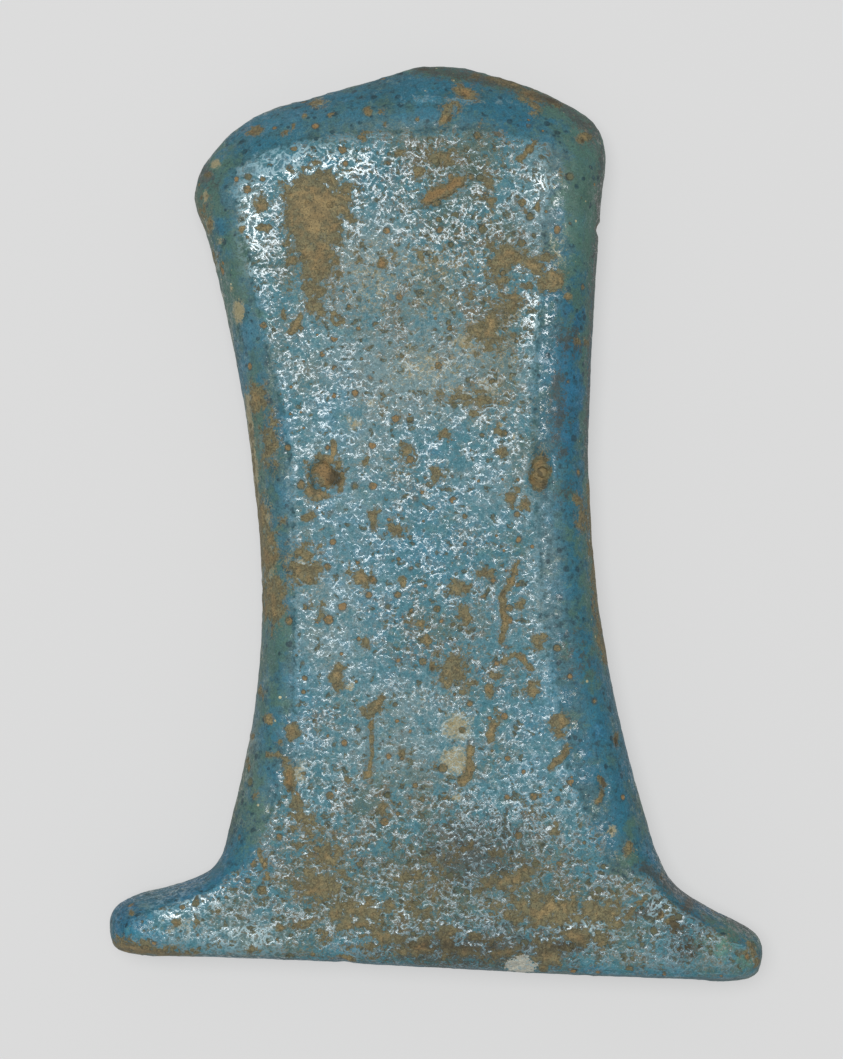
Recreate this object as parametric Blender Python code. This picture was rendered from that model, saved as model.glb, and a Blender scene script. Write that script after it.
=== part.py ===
"""Axe amulet of glazed faience, one moulded piece that lies on its flat back.

The blade points along +Y, with the cutting edge at the far end and the two hafting lugs at
the butt. +Z comes up out of the face. The origin is under the middle of the amulet, on the
surface that it lies on. It is hand made, so left and right differ a little, as named below.
"""

import math

import bmesh
import bpy
from mathutils import Matrix, Vector

MM = 0.001

# Main sizes
LENGTH = 50.0 * MM
THICKNESS = 6.0 * MM
LUG_SPAN = 35.75 * MM
BLADE_WIDTH = 22.65 * MM
WAIST_WIDTH = 18.05 * MM
ROOT_WIDTH = 24.2 * MM

# How the hand-made blade stands on its butt: the middle of each width, left of the lugs' middle
BLADE_OFFSET = 1.95 * MM
WAIST_OFFSET = 0.57 * MM
APEX_OFFSET = 0.35 * MM
ROOT_OFFSET = -0.2 * MM

# How far the cutting edge curves back from its apex to each shoulder
EDGE_DROP_LEFT = 7.0 * MM
EDGE_DROP_RIGHT = 4.9 * MM

# Heights above the lowest point of the butt
WAIST_LEFT = 20.3 * MM
WAIST_RIGHT = 27.2 * MM
ROOT_HEIGHT = 6.75 * MM

# Lugs: the height of the rounded tip above its own foot, and how far in the rounding ends
LUG_TIP_HEIGHT = 3.3 * MM
LUG_TIP_RADIUS = 1.2 * MM
BUTT_SLOPE = 1.45 * MM
BUTT_BOW = 0.1 * MM

# How high the rim stands, and how far in the rounding reaches from the rim to the face
RIM_HEIGHT = 2.7 * MM
SIDE_ROUNDING = 1.9 * MM
BEVEL_LENGTH = 3.2 * MM
LUG_ROUNDING = 1.05 * MM
BUTT_ROUNDING = 0.85 * MM
BACK_SHARE = 0.7

# The last of the rounding eases into the flat of the face
EASE_SHARE = 0.25
EASE_DROP = 0.07 * MM

# Section from rim to face: 2 is a quarter ellipse, 1 a straight bevel
SIDE_FULLNESS = 2.0
BEVEL_FULLNESS = 1.5
FLARE_POWER = 1.8

# Two pits in the face, each in from its side of the waist, and the flake lost from the butt
PIT_HEIGHT = 27.6 * MM
LEFT_PIT_IN = 3.45 * MM
LEFT_PIT_SIZE = (1.25 * MM, 1.7 * MM)
LEFT_PIT_DEPTH = 0.45 * MM
RIGHT_PIT_IN = 2.85 * MM
RIGHT_PIT_SIZE = (1.05 * MM, 2.1 * MM)
RIGHT_PIT_DEPTH = 0.35 * MM
RIGHT_PIT_TURN = math.radians(-14)
FLAKE_X = 4.65 * MM
FLAKE_SIZE = (1.7 * MM, 2.3 * MM)
FLAKE_DEPTH = 0.65 * MM
CUTTER_LIFT = 0.1 * MM

# Fineness of the solid
SPAN_STEPS = 12
OUTLINE_STEPS = 300
INSET_STEP = 0.12 * MM
FACE_STEPS = 6
BACK_STEPS = 4
PIT_SEGMENTS = 24


def cleared_scene():
    for obj in list(bpy.data.objects):
        bpy.data.objects.remove(obj, do_unlink=True)


def collection_named(name):
    collection = bpy.data.collections.new(name)
    bpy.context.scene.collection.children.link(collection)
    return collection


def flare(waist, end, shares):
    """Points of one side that leaves the waist and curves out to end, at these shares of the way."""
    return [
        (
            waist[0] + (end[0] - waist[0]) * share**FLARE_POWER,
            waist[1] + (end[1] - waist[1]) * share,
        )
        for share in shares
    ]


def butt_height(x):
    """The butt's edge falls from the left lug to the right one in a faint S."""
    share = 2 * x / LUG_SPAN
    return BUTT_SLOPE * (1 - share) / 2 - BUTT_BOW * math.sin(math.pi * share)


def shoulder_point(side):
    """Where the side meets the cutting edge, right for +1 and left for -1."""
    drop = EDGE_DROP_RIGHT if side > 0 else EDGE_DROP_LEFT
    return (side * BLADE_WIDTH / 2 - BLADE_OFFSET, LENGTH - drop)


def waist_x(side):
    return side * WAIST_WIDTH / 2 - WAIST_OFFSET


def side_points(side):
    """One side of the outline, from its lug's foot up to its shoulder, as (x, y, rounding)."""
    waist = (waist_x(side), WAIST_RIGHT if side > 0 else WAIST_LEFT)
    root = (side * ROOT_WIDTH / 2 - ROOT_OFFSET, ROOT_HEIGHT)
    foot = butt_height(side * LUG_SPAN / 2)
    lug_top = (side * (LUG_SPAN / 2 - LUG_TIP_RADIUS), foot + LUG_TIP_HEIGHT)
    rounding = min(LUG_ROUNDING, LUG_TIP_HEIGHT / 3)
    points = []
    for in_share, up_share in ((1.3, 0.0), (0.3, 0.12), (0.0, 0.42), (0.13, 0.76)):
        x = side * (LUG_SPAN / 2 - in_share * LUG_TIP_RADIUS)
        points.append((x, foot + up_share * LUG_TIP_HEIGHT, rounding))
    for x_share, y_share in ((0.0, 0.0), (0.43, 0.28), (0.81, 0.6)):
        x = lug_top[0] + (root[0] - lug_top[0]) * x_share
        y = lug_top[1] + (root[1] - lug_top[1]) * y_share
        points.append((x, y, rounding))
    for x, y in flare(waist, root, (1.0, 0.86, 0.66, 0.36)):
        points.append((x, y, SIDE_ROUNDING))
    for x, y in flare(waist, shoulder_point(side), (0.0, 0.35, 0.65, 0.88)):
        points.append((x, y, SIDE_ROUNDING))
    points.append((*shoulder_point(side), (SIDE_ROUNDING + BEVEL_LENGTH) / 2))
    return points


def edge_points():
    """The cutting edge between the shoulders, from right to left."""
    apex = (-APEX_OFFSET, LENGTH)
    sides = (
        (1, ((0.94, 0.67), (0.78, 0.44), (0.48, 0.18), (0.0, 0.0))),
        (-1, ((0.25, 0.12), (0.5, 0.25), (0.72, 0.38), (0.89, 0.62))),
    )
    points = []
    for side, shares in sides:
        shoulder = shoulder_point(side)
        for x_share, drop_share in shares:
            x = apex[0] + (shoulder[0] - apex[0]) * x_share
            y = apex[1] + (shoulder[1] - apex[1]) * drop_share
            points.append((x, y, BEVEL_LENGTH))
    return points


def butt_points():
    """The butt's edge, from left to right between the lugs' feet."""
    reach = LUG_SPAN / 2 - LUG_TIP_RADIUS
    return [
        (reach * share, butt_height(reach * share), BUTT_ROUNDING)
        for share in (-0.82, -0.5, 0.0, 0.5, 0.82)
    ]


def outline_points():
    """The whole outline, anticlockwise from the foot of the right lug."""
    return side_points(1) + edge_points() + side_points(-1)[::-1] + butt_points()


def drawn_loop(points):
    """The closed smooth curve through these points. Their third number is drawn along with them."""
    curve = bpy.data.curves.new("outline", "CURVE")
    curve.dimensions = "3D"
    curve.resolution_u = SPAN_STEPS
    spline = curve.splines.new("BEZIER")
    spline.bezier_points.add(len(points) - 1)
    spline.use_cyclic_u = True
    for knot, point in zip(spline.bezier_points, points):
        knot.co = point
        knot.handle_left_type = knot.handle_right_type = "AUTO"
    guide = bpy.data.objects.new("outline", curve)
    bpy.context.scene.collection.objects.link(guide)
    graph = bpy.context.evaluated_depsgraph_get()
    drawn = bpy.data.meshes.new_from_object(guide.evaluated_get(graph))
    loop = [vertex.co.copy() for vertex in drawn.vertices]
    bpy.data.objects.remove(guide, do_unlink=True)
    bpy.data.meshes.remove(drawn)
    return loop


def spaced_evenly(loop):
    """The same closed loop as OUTLINE_STEPS points, at equal distances along it."""
    ends = loop[1:] + loop[:1]
    step = sum((end - start).length for start, end in zip(loop, ends)) / OUTLINE_STEPS
    points = []
    covered = 0.0
    for start, end in zip(loop, ends):
        length = (end - start).length
        while len(points) < OUTLINE_STEPS and len(points) * step < covered + length:
            points.append(start.lerp(end, (len(points) * step - covered) / length))
        covered += length
    return points


def moved_in(loop, widths):
    """The loop moved in by these widths in small steps, and evened out after each step."""
    steps = math.ceil(max(widths) / INSET_STEP)
    for _ in range(steps):
        moved = []
        for index, width in enumerate(widths):
            along = (loop[(index + 1) % len(loop)] - loop[index - 1]).normalized()
            moved.append(loop[index] + Vector((-along.y, along.x)) * width / steps)
        loop = [
            moved[index - 1] / 4 + moved[index] / 2 + moved[(index + 1) % len(moved)] / 4
            for index in range(len(moved))
        ]
    return loop


def fullness_at(height):
    """The section's fullness: rounded along the sides, nearly straight at the cutting edge."""
    low = LENGTH - max(EDGE_DROP_LEFT, EDGE_DROP_RIGHT)
    share = min(max((height - low) / (LENGTH - low), 0.0), 1.0)
    return SIDE_FULLNESS + (BEVEL_FULLNESS - SIDE_FULLNESS) * share


def section_rings(rim, border, top, steps):
    """Rings that round over from the rim, which isn't one of them, to the border at this height."""
    rings = []
    for step in range(1, steps + 1):
        angle = math.pi / 2 * step / steps
        ring = []
        for outer, inner in zip(rim, border):
            power = 2 / fullness_at(outer.y)
            reach = 1 - max(math.cos(angle), 0.0) ** power
            rise = math.sin(angle) ** power
            place = outer + (inner - outer) * reach
            ring.append((place.x, place.y, RIM_HEIGHT + (top - RIM_HEIGHT) * rise))
        rings.append(ring)
    return rings


def skin_rings():
    """Closed rings from the back's border, round the rim, to the edge of the flat of the face."""
    drawn = spaced_evenly(drawn_loop(outline_points()))
    rim = [point.xy for point in drawn]
    roundings = [point.z for point in drawn]
    back = moved_in(rim, [rounding * BACK_SHARE for rounding in roundings])
    face = moved_in(rim, roundings)
    flat = moved_in(face, [rounding * EASE_SHARE for rounding in roundings])
    below = section_rings(rim, back, 0.0, BACK_STEPS)[::-1]
    above = section_rings(rim, face, THICKNESS - EASE_DROP, FACE_STEPS)
    widest = [(point.x, point.y, RIM_HEIGHT) for point in rim]
    return below + [widest] + above + [[(point.x, point.y, THICKNESS) for point in flat]]


def amulet_mesh():
    """The skin between the rings, closed by a flat back and a flat face, at the named sizes."""
    bm = bmesh.new()
    rings = [[bm.verts.new(co) for co in ring] for ring in skin_rings()]
    for lower, upper in zip(rings, rings[1:]):
        for index in range(len(lower)):
            after = (index + 1) % len(lower)
            bm.faces.new((lower[index], lower[after], upper[after], upper[index]))
    bm.faces.new(rings[0][::-1])
    bm.faces.new(rings[-1])
    xs = [vertex.co.x for vertex in bm.verts]
    ys = [vertex.co.y for vertex in bm.verts]
    middle = Vector((min(xs) + max(xs), min(ys) + max(ys), 0.0)) / 2
    fit = Vector((LUG_SPAN / (max(xs) - min(xs)), LENGTH / (max(ys) - min(ys)), 1.0))
    bmesh.ops.translate(bm, verts=bm.verts, vec=-middle)
    bmesh.ops.scale(bm, verts=bm.verts, vec=fit)
    bmesh.ops.recalc_face_normals(bm, faces=bm.faces)
    mesh = bpy.data.meshes.new("axe_amulet")
    bm.to_mesh(mesh)
    bm.free()
    mesh.shade_smooth()
    mesh.set_sharp_from_angle(angle=math.radians(35))
    return mesh, middle


def glaze_material():
    material = bpy.data.materials.new("glaze")
    material.use_nodes = True
    shader = material.node_tree.nodes["Principled BSDF"]
    shader.inputs["Base Color"].default_value = (0.075, 0.17, 0.2, 1.0)
    shader.inputs["Roughness"].default_value = 0.3
    shader.inputs["Metallic"].default_value = 0.0
    return material


def hollow(name, amulet, cutters, place, radii, turn):
    """Cuts a shallow rounded hollow with these three radii, whose middle is at place."""
    bm = bmesh.new()
    bmesh.ops.create_uvsphere(
        bm, u_segments=PIT_SEGMENTS, v_segments=PIT_SEGMENTS // 2, radius=1.0
    )
    shape = Matrix.Translation(place) @ Matrix.Rotation(turn, 4, "Z") @ Matrix.Diagonal((*radii, 1.0))
    bmesh.ops.transform(bm, matrix=shape, verts=bm.verts)
    mesh = bpy.data.meshes.new(name)
    bm.to_mesh(mesh)
    bm.free()
    cutter = bpy.data.objects.new(name, mesh)
    cutter.hide_render = True
    cutter.display_type = "WIRE"
    cutters.objects.link(cutter)
    cut = amulet.modifiers.new(name, "BOOLEAN")
    cut.operation = "DIFFERENCE"
    cut.object = cutter


def main():
    cleared_scene()
    parts = collection_named("axe amulet")
    cutters = collection_named("cutters")
    mesh, middle = amulet_mesh()
    amulet = bpy.data.objects.new("axe_amulet", mesh)
    amulet.data.materials.append(glaze_material())
    parts.objects.link(amulet)

    left_pit = (waist_x(-1) + LEFT_PIT_IN, PIT_HEIGHT)
    right_pit = (waist_x(1) - RIGHT_PIT_IN, PIT_HEIGHT)
    flake = (FLAKE_X, butt_height(FLAKE_X))
    for name, (x, y), (width, length), depth, turn in (
        ("left_pit", left_pit, LEFT_PIT_SIZE, LEFT_PIT_DEPTH, 0.0),
        ("right_pit", right_pit, RIGHT_PIT_SIZE, RIGHT_PIT_DEPTH, RIGHT_PIT_TURN),
        ("lost_flake", flake, FLAKE_SIZE, FLAKE_DEPTH, 0.0),
    ):
        place = Vector((x, y, THICKNESS + CUTTER_LIFT)) - middle
        hollow(name, amulet, cutters, place, (width / 2, length / 2, depth + CUTTER_LIFT), turn)


main()
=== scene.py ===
"""Looks of the axe amulet: the moulded body in its pitted, stained blue-green glaze.

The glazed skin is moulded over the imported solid, and keeps its form and size. A node tree
presses the pits, pinholes and crust into it, and the glaze's colours follow the same pattern.
Lengths are in metres, patterns are worked out in millimetres.
"""

import math

import bmesh
import bpy
import numpy as np
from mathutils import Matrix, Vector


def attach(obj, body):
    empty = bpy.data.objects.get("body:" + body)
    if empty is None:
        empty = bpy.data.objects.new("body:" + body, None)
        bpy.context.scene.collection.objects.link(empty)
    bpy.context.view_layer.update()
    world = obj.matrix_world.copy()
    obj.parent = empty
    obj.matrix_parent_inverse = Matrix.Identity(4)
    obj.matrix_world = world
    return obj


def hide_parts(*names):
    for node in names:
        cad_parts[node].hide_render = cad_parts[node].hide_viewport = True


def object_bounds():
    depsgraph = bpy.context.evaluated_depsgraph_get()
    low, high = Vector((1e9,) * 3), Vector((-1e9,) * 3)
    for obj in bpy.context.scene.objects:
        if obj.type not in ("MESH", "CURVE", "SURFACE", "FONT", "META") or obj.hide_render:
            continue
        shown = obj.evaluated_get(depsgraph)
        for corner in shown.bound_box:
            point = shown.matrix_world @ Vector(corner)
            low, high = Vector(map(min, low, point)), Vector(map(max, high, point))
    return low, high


bl_info = {
    "name": "Axe amulet",
    "version": (1, 0, 0),
    "blender": (4, 5, 0),
    "location": "3D View > Sidebar > Amulet",
    "description": "Dresses the packed axe amulet in its pitted blue-green glaze",
    "category": "Object",
}

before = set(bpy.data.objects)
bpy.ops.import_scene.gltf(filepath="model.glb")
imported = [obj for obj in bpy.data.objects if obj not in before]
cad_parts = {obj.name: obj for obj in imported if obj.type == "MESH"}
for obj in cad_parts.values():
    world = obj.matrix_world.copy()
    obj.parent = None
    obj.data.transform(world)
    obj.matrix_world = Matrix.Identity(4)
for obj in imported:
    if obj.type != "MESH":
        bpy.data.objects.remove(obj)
CAD_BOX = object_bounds()

MM = 0.001
NODE = "axe_amulet"

# What the skin carries at each of its points
PLACE = "moulded_place"
FACE = "face_share"
RIM = "rim_share"
DIRT = "dirt"
DARK = "dark"
TAN = "tan"
BARE = "bare"
OLIVE = "olive"
DEEP = "deep"
HAZE = "haze"
WASH = "wash"
GREY = "grey"
GLOSS = "gloss"
RUST = "rust"
SMOOTH = "smooth"
HOLLOW = "hollow"

# Marks on the face, in millimetres from its middle: x, y, width, length, then strength if
# it isn't 1, and turn in degrees anticlockwise if there is one
MARKS = {
    DIRT: (
        # the big patch at the upper left
        (-6.4, 16.7, 2.9, 3.6, 1.25), (-6.4, 14.2, 1.8, 2.4, 1.1), (-6.5, 12.2, 1.1, 1.8, 0.9),
        (-7.6, 16.4, 1.3, 1.6, 0.8), (-5.2, 17.3, 1.4, 1.6, 0.8), (-4.8, 16.4, 1.1, 0.87, 0.7),
        (-6.4, 18.2, 1.5, 0.65, 0.6), (-7.5, 14.2, 1.1, 1.4, 0.7), (-6.2, 14.9, 3.8, 5.4, 0.5),
        # what surrounds it
        (-9.4, 17, 0.65, 0.76), (-9.2, 15.8, 0.82, 0.38), (-10.4, 15.7, 0.38, 0.38),
        (-8.2, 11.2, 0.33, 0.65), (-2.9, 13.9, 0.43, 0.54), (-6.1, 10.9, 0.65, 0.65),
        (-5.3, 10.9, 0.65, 0.65), (-12.3, 16, 0.38, 0.65, 0.8), (-12.4, 18.8, 0.38, 0.43, 0.9),
        # the bevel of the cutting edge
        (-9.8, 21.2, 0.82, 0.49), (-8.1, 21, 0.43, 0.38), (-7.7, 21.4, 0.27, 0.27),
        (-7.1, 22, 0.27, 0.27), (-5.7, 22, 0.27, 0.27), (-6.4, 22.8, 0.76, 0.54, 0.8),
        (-3.7, 22.1, 0.33, 0.43), (-2.9, 22.1, 0.43, 0.43, 0.8), (-2.8, 21.4, 0.33, 0.27),
        (-3.8, 20.9, 0.33, 0.27), (-3.8, 20.5, 0.33, 0.27), (-1, 21.6, 0.22, 0.22),
        (0.7, 22.3, 0.98, 0.76, 0.9), (0.5, 21.7, 0.49, 0.87, 1, -30), (1.6, 23.2, 1.1, 0.98, 0.9),
        (5.2, 23.2, 1.4, 0.87, 0.9, -10), (5.3, 22.4, 0.54, 0.87, 0.9, 15), (2.1, 24.3, 0.65, 0.54, 0.9),
        (3.8, 23.9, 0.54, 0.43, 0.9), (8, 20.8, 0.65, 0.49),
        # the upper middle
        (-0.3, 14.2, 4.9, 2.2, 0.42), (1.8, 12.1, 3.3, 1.6, 0.42), (-2.2, 6.1, 3.3, 1.4, 0.4),
        (2.4, 6.4, 3.8, 1.3, 0.48), (3.3, 14.1, 1.3, 1.8, 0.85), (3.9, 11.8, 1.8, 1.8, 0.62),
        (2.7, 10.1, 2.1, 2.1, 0.8), (1.7, 6.7, 3.3, 1.2, 0.62), (0.3, 19.6, 1.8, 0.71, 0.9),
        (-1, 18.8, 0.65, 0.71, 0.9), (-1.8, 19.7, 0.54, 0.54, 0.8), (1, 18.3, 1.2, 0.54, 0.8, 20),
        (2.7, 18.1, 0.65, 0.87, 0.8), (2.9, 16.9, 0.54, 1.3, 0.7), (4.8, 16.7, 0.27, 0.38),
        (4.6, 17.1, 0.27, 0.33), (5.4, 16.9, 0.38, 0.49, 0.9), (6.7, 18.6, 0.43, 0.65, 0.7),
        # the patches at the upper right
        (3.8, 14.2, 1.2, 1.4, 0.9), (4.9, 13.9, 1.6, 0.98, 0.9, -20), (6.1, 13, 1.3, 1.2),
        (3.4, 12.9, 0.87, 0.76, 0.8), (5.9, 14.1, 0.87, 0.65, 0.7), (4.9, 12.6, 0.98, 0.65, 0.7),
        (7.1, 12.1, 0.33, 0.43, 0.9), (9.1, 15.9, 0.38, 0.65), (7.7, 9.7, 0.38, 0.38),
        (8.2, 9.7, 0.33, 0.38), (7.7, 1.3, 0.65, 0.65, 0.7), (8, 0.3, 0.76, 1.3, 0.8),
        # round the two deep pits
        (-5.9, 2.7, 1.5, 1.7, 1.05), (-6.8, 1.7, 0.54, 0.76), (-6.2, 1.5, 0.65, 0.65),
        (-5.1, 2.2, 0.54, 0.87, 0.9, -15), (-7, 3.3, 0.33, 0.33, 0.7), (-5.5, 3.9, 0.27, 0.87),
        (-5.6, 3.3, 0.43, 0.65), (5.5, 2.8, 0.76, 1.8, 1.1, -8), (-1.5, 3.8, 0.76, 0.98, 0.8),
        (-1.8, 3.1, 0.98, 0.98, 0.6), (0, 2.6, 0.71, 0.98, 0.8), (-3.8, 3.3, 0.76, 0.54, 0.6),
        (3.5, 3.8, 0.54, 0.49), (2, 5.8, 0.65, 0.87, 0.6), (3.2, 5.1, 0.87, 0.76, 0.7),
        (0.5, 4.8, 0.65, 0.76, 0.7), (4, 1.4, 0.71, 0.87), (4.7, 1, 0.76, 0.6),
        (-0.6, 1.9, 0.54, 0.65, 0.6),
        # the middle of the face
        (-3.3, 0.2, 0.54, 1.4, 0.8), (-2, -0.3, 1.1, 0.87, 0.8), (-6.9, 0.4, 0.76, 0.54, 0.9),
        (-4.1, -2.9, 1.3, 1.3, 0.8), (-1.8, -3.2, 0.43, 0.54), (-6.2, -4.7, 0.54, 1.1, 0.8),
        (-6.7, -4.2, 0.43, 0.87, 0.7), (-3.8, -6.3, 0.65, 0.76, 0.8), (-0.5, -6.4, 0.65, 0.65, 0.8),
        (1.5, -5, 0.76, 1.1, 0.9), (1.1, -3.5, 1.3, 0.76, 0.9), (-0.8, -5.4, 0.49, 0.49),
        (-1.4, -5.3, 0.54, 0.54, 0.7), (4.5, -4.4, 0.54, 0.6, 0.8), (5.4, -6.3, 0.87, 0.76, 0.9),
        (1, -7.9, 2, 2, 0.8), (-0.2, -7.7, 0.38, 0.65), (3.2, -8.2, 0.76, 0.49, 0.9),
        (2.8, -8.9, 0.43, 0.76), (5.1, -8.9, 0.87, 0.87, 0.9), (2.6, -2.7, 0.87, 0.76, 0.8),
        (-5.3, -8.2, 0.82, 1.3, 0.9), (-7.1, -2.3, 1.8, 2, 0.95),
        # the left band
        (-9, 4.4, 1, 2.7, 0.85), (-9.7, 6.7, 0.92, 1.6, 0.95), (-8.9, 5.7, 0.43, 0.54, 0.7),
        (-9.5, 0.4, 0.71, 1.8, 0.9), (-9.2, -1.6, 1.2, 2.5), (-8.9, -4.2, 1.4, 2.4),
        (-12.6, 16.7, 0.76, 1.4, 0.6), (-12.1, 14.2, 0.65, 1.1, 0.6), (-8.3, 0.2, 0.43, 0.43, 0.8),
        (-7.7, -11.1, 0.65, 0.76), (-9.1, -10.5, 0.49, 0.43, 0.9), (-8.4, -11.7, 0.33, 0.33),
        (-9.5, -9.1, 0.38, 0.54, 0.8), (-10.1, -11.5, 0.38, 0.38, 0.8), (-9.8, -14.5, 0.38, 0.49, 0.7),
        (-10.3, -12.9, 0.33, 0.43, 0.7),
        # the lower middle
        (-3.5, -10, 1.1, 0.6, 0.9), (-3.7, -13.4, 0.65, 0.43), (-1.8, -12.4, 0.54, 0.54, 0.9),
        (-0.1, -13, 0.43, 0.38, 0.9), (-2.8, -15.4, 0.76, 0.87, 0.8), (-4.8, -13.7, 0.43, 0.43, 0.8),
        (-7.9, -13.5, 0.71, 1.4, 1, 10), (6.6, -10.7, 1.2, 0.98, 0.9, 20), (6.5, -11.3, 0.76, 0.43, 0.9),
        (6.4, -16.3, 0.65, 0.6, 0.8), (9.9, -11.6, 0.38, 0.71), (8.9, -13.8, 0.43, 0.76, 1, 15),
        (10.3, -17.4, 0.49, 0.65, 0.8), (5.3, -14.9, 0.38, 1.3, 0.6, -30),
        # the foot of the face
        (-7.1, -16.3, 1.6, 2.2, 0.7), (-6.3, -19.4, 3, 1.8, 0.85), (-4.1, -20.8, 3.5, 1.6, 0.8),
        (-5.8, -17.8, 2.4, 2.2, 0.7), (0.6, -17.9, 4.3, 1.2, 0.45, 25), (-0.9, -19, 2.7, 1.3, 0.7),
        (3.5, -17.8, 3.3, 0.54, 0.6, -10), (-0.9, -20.8, 2.2, 1.6, 0.6), (0.6, -22, 1.2, 1.3, 0.8),
        (-0.9, -22.6, 1.4, 0.82, 1, 15), (-2, -22.9, 0.76, 0.43, 0.9), (-4.8, -23.4, 0.82, 0.6, 0.9, -25),
        (3.5, -23, 1.2, 0.65, 0.9), (6, -23.2, 1.4, 0.98), (5.7, -23.8, 0.65, 0.49),
        (5.9, -20.7, 4.3, 1.6, 0.95), (8.9, -20.8, 2.7, 1.6, 0.8), (8.6, -20.7, 1.5, 1.3, 0.8),
        (7.6, -22.1, 2.7, 0.98, 0.9), (4, -19, 3.8, 0.98, 0.85, 20), (10.5, -19.7, 0.76, 0.65, 0.7),
        (12, -21, 0.38, 0.33), (12.4, -21.3, 0.38, 0.38), (12.8, -21.6, 0.49, 0.65, 0.9),
        (10.9, -20.3, 0.43, 0.33), (13.4, -22.7, 0.33, 0.33), (12.3, -18.9, 0.22, 0.27),
        (1.8, -22.1, 1.3, 0.65, 0.7), (-8.3, -21.6, 0.43, 0.38, 0.9), (-9.2, -19.6, 0.43, 0.65, 0.9),
        (-9.8, -22.8, 0.65, 0.43, 0.9), (-6.6, -23.1, 0.27, 0.33), (0.8, -22.7, 11.4, 1.3, 0.6),
        (6.7, -22.4, 4.9, 1.1, 0.6), (-3, -22.1, 2.2, 0.76, 0.8), (1.8, -22.9, 1.6, 0.65, 0.9),
        (-5.8, -22.1, 1.6, 0.76, 0.6),
        # the lugs
        (-13.9, -21.3, 0.49, 0.38), (-12.8, -21.4, 0.33, 0.33), (-14.7, -20.6, 0.43, 0.33, 0.7),
        (-15.5, -22.4, 0.65, 0.38, 0.7), (-15.8, -23, 4.9, 0.82, 0.95, -4),
        (-16.8, -22.8, 1.4, 0.98, 0.85), (16.5, -23, 0.76, 0.54, 0.7, 30),
        (17.2, -23.1, 0.43, 0.98, 0.6, 20), (15.2, -20.8, 0.33, 0.33, 0.7),
        (17, -23.2, 0.65, 0.87, 0.8, 20), (-16.4, -20.8, 0.27, 0.27, 0.9),
        (-11.6, -20.8, 0.43, 0.38, 0.8),
    ),
    DARK: (
        # the bottoms of the pits and of the gouge, and dark smudges
        (-5.5, 2.4, 0.76, 0.65, 1.1, -30), (-6.1, 3.2, 0.54, 0.22, 0.5, 20), (-6.5, 2.1, 0.27, 0.38, 0.5),
        (5.7, 2.1, 0.49, 0.87, 0.6, -8), (5.8, 3.4, 0.33, 0.65, 0.6, -8),
        (0.7, 21.7, 0.27, 0.65, 0.7, -30), (1.5, 23.1, 0.49, 0.33, 0.6), (9, 15.9, 0.22, 0.43),
        (9.9, -11.7, 0.22, 0.49), (9, -13.9, 0.22, 0.6, 1, 15), (-5.1, -23.6, 0.54, 0.27, 0.9, -25),
        (12, -20.9, 0.22, 0.22, 0.9), (12.5, -21.3, 0.22, 0.22, 0.9), (13.4, -22.7, 0.38, 0.38, 0.9),
        (12.8, -21.5, 0.65, 0.54, 0.6), (14.1, -22.6, 0.33, 0.33, 0.8),
        (11.4, -20.6, 1.8, 0.71, 0.72, 30), (12.8, -21.6, 1.2, 1.2, 0.72), (13.5, -22.8, 1.3, 1.6, 0.7),
        (13.6, -20.4, 1.6, 0.6, 0.7, 35), (12.3, -18.9, 0.16, 0.22), (-7.8, -14.2, 0.38, 0.43, 0.7),
        (-0.2, -7.8, 0.27, 0.43, 0.7), (8, 20.7, 0.27, 0.22, 0.8), (5.2, 23.3, 0.65, 0.27, 0.5, -10),
        (-4.8, -9.9, 0.27, 0.27, 0.6), (1, -22.6, 8.2, 1.2, 0.56), (-0.6, 24.7, 1.6, 0.33, 0.6, -5),
        (6.2, 23, 1.6, 0.49, 0.7, -25), (1.4, 24.2, 6, 0.98, 0.44, -4), (8.4, 21.5, 0.87, 2.7, 0.42, -30),
        (8.9, 14.2, 0.76, 4.9, 0.42, 2), (6.7, -22.6, 4.9, 0.98, 0.54), (8.3, 21.6, 1.4, 1.8, 0.45, -30),
        (2.4, 24.2, 3.3, 0.43, 0.45, -10),
    ),
    TAN: (
        # yellow-tan haze
        (2.7, 10.2, 2.4, 1.8, 0.6), (1.5, 9.7, 0.87, 0.76), (4, 11.6, 1.6, 2.7, 0.5),
        (2.7, 7.1, 3.3, 1.6, 0.55), (1.4, 6.7, 2.7, 1.6, 0.45), (-0.6, 13.9, 7.1, 2.7, 0.5),
        (-13.6, -21.5, 2.7, 1.3, 0.5), (15.4, -22.4, 1.2, 2, 0.5, -20), (1.8, 9.4, 5.4, 3.3, 0.45),
        (1.4, 6.9, 4.9, 1.3, 0.5), (-0.6, 8.3, 5.4, 3.3, 0.52), (-3.3, 13.1, 4.3, 4.3, 0.5),
        (-0.4, 12, 3.3, 2.7, 0.45), (6.5, 14.8, 1.4, 3.3, 0.45), (-0.8, -9.6, 1.6, 1.3, 0.45),
        (3.5, 8.9, 2.2, 3.3, 0.45), (1.1, -10.9, 1.2, 1.2, 1.2), (1.7, -10.5, 1.1, 0.76, 0.6),
        (1, -12.7, 1.3, 1.2, 1.2), (1.1, -14.7, 0.49, 0.43, 0.9), (-6.4, 22.8, 0.98, 0.65, 0.7),
        (-12, 19.4, 0.49, 0.49, 1.1), (-10.7, 11.3, 0.54, 1.1, 1.2), (-12.5, 17.6, 0.33, 0.65, 0.9),
        (-12.3, 16, 0.38, 0.65), (-11.1, 12.5, 0.33, 0.43, 0.7), (-9.8, 6.7, 0.54, 0.87, 1.2),
        (-9.3, 0.4, 0.76, 1.8, 0.8), (-9.1, -2, 0.98, 3.3, 0.7), (-8.8, -4.3, 0.76, 1.4, 0.9),
        (-7.1, -2.3, 2.1, 2.1, 0.7), (-7.5, -13.4, 1.1, 1.2, 0.8), (9.4, -16.4, 0.54, 0.76, 0.8),
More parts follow.
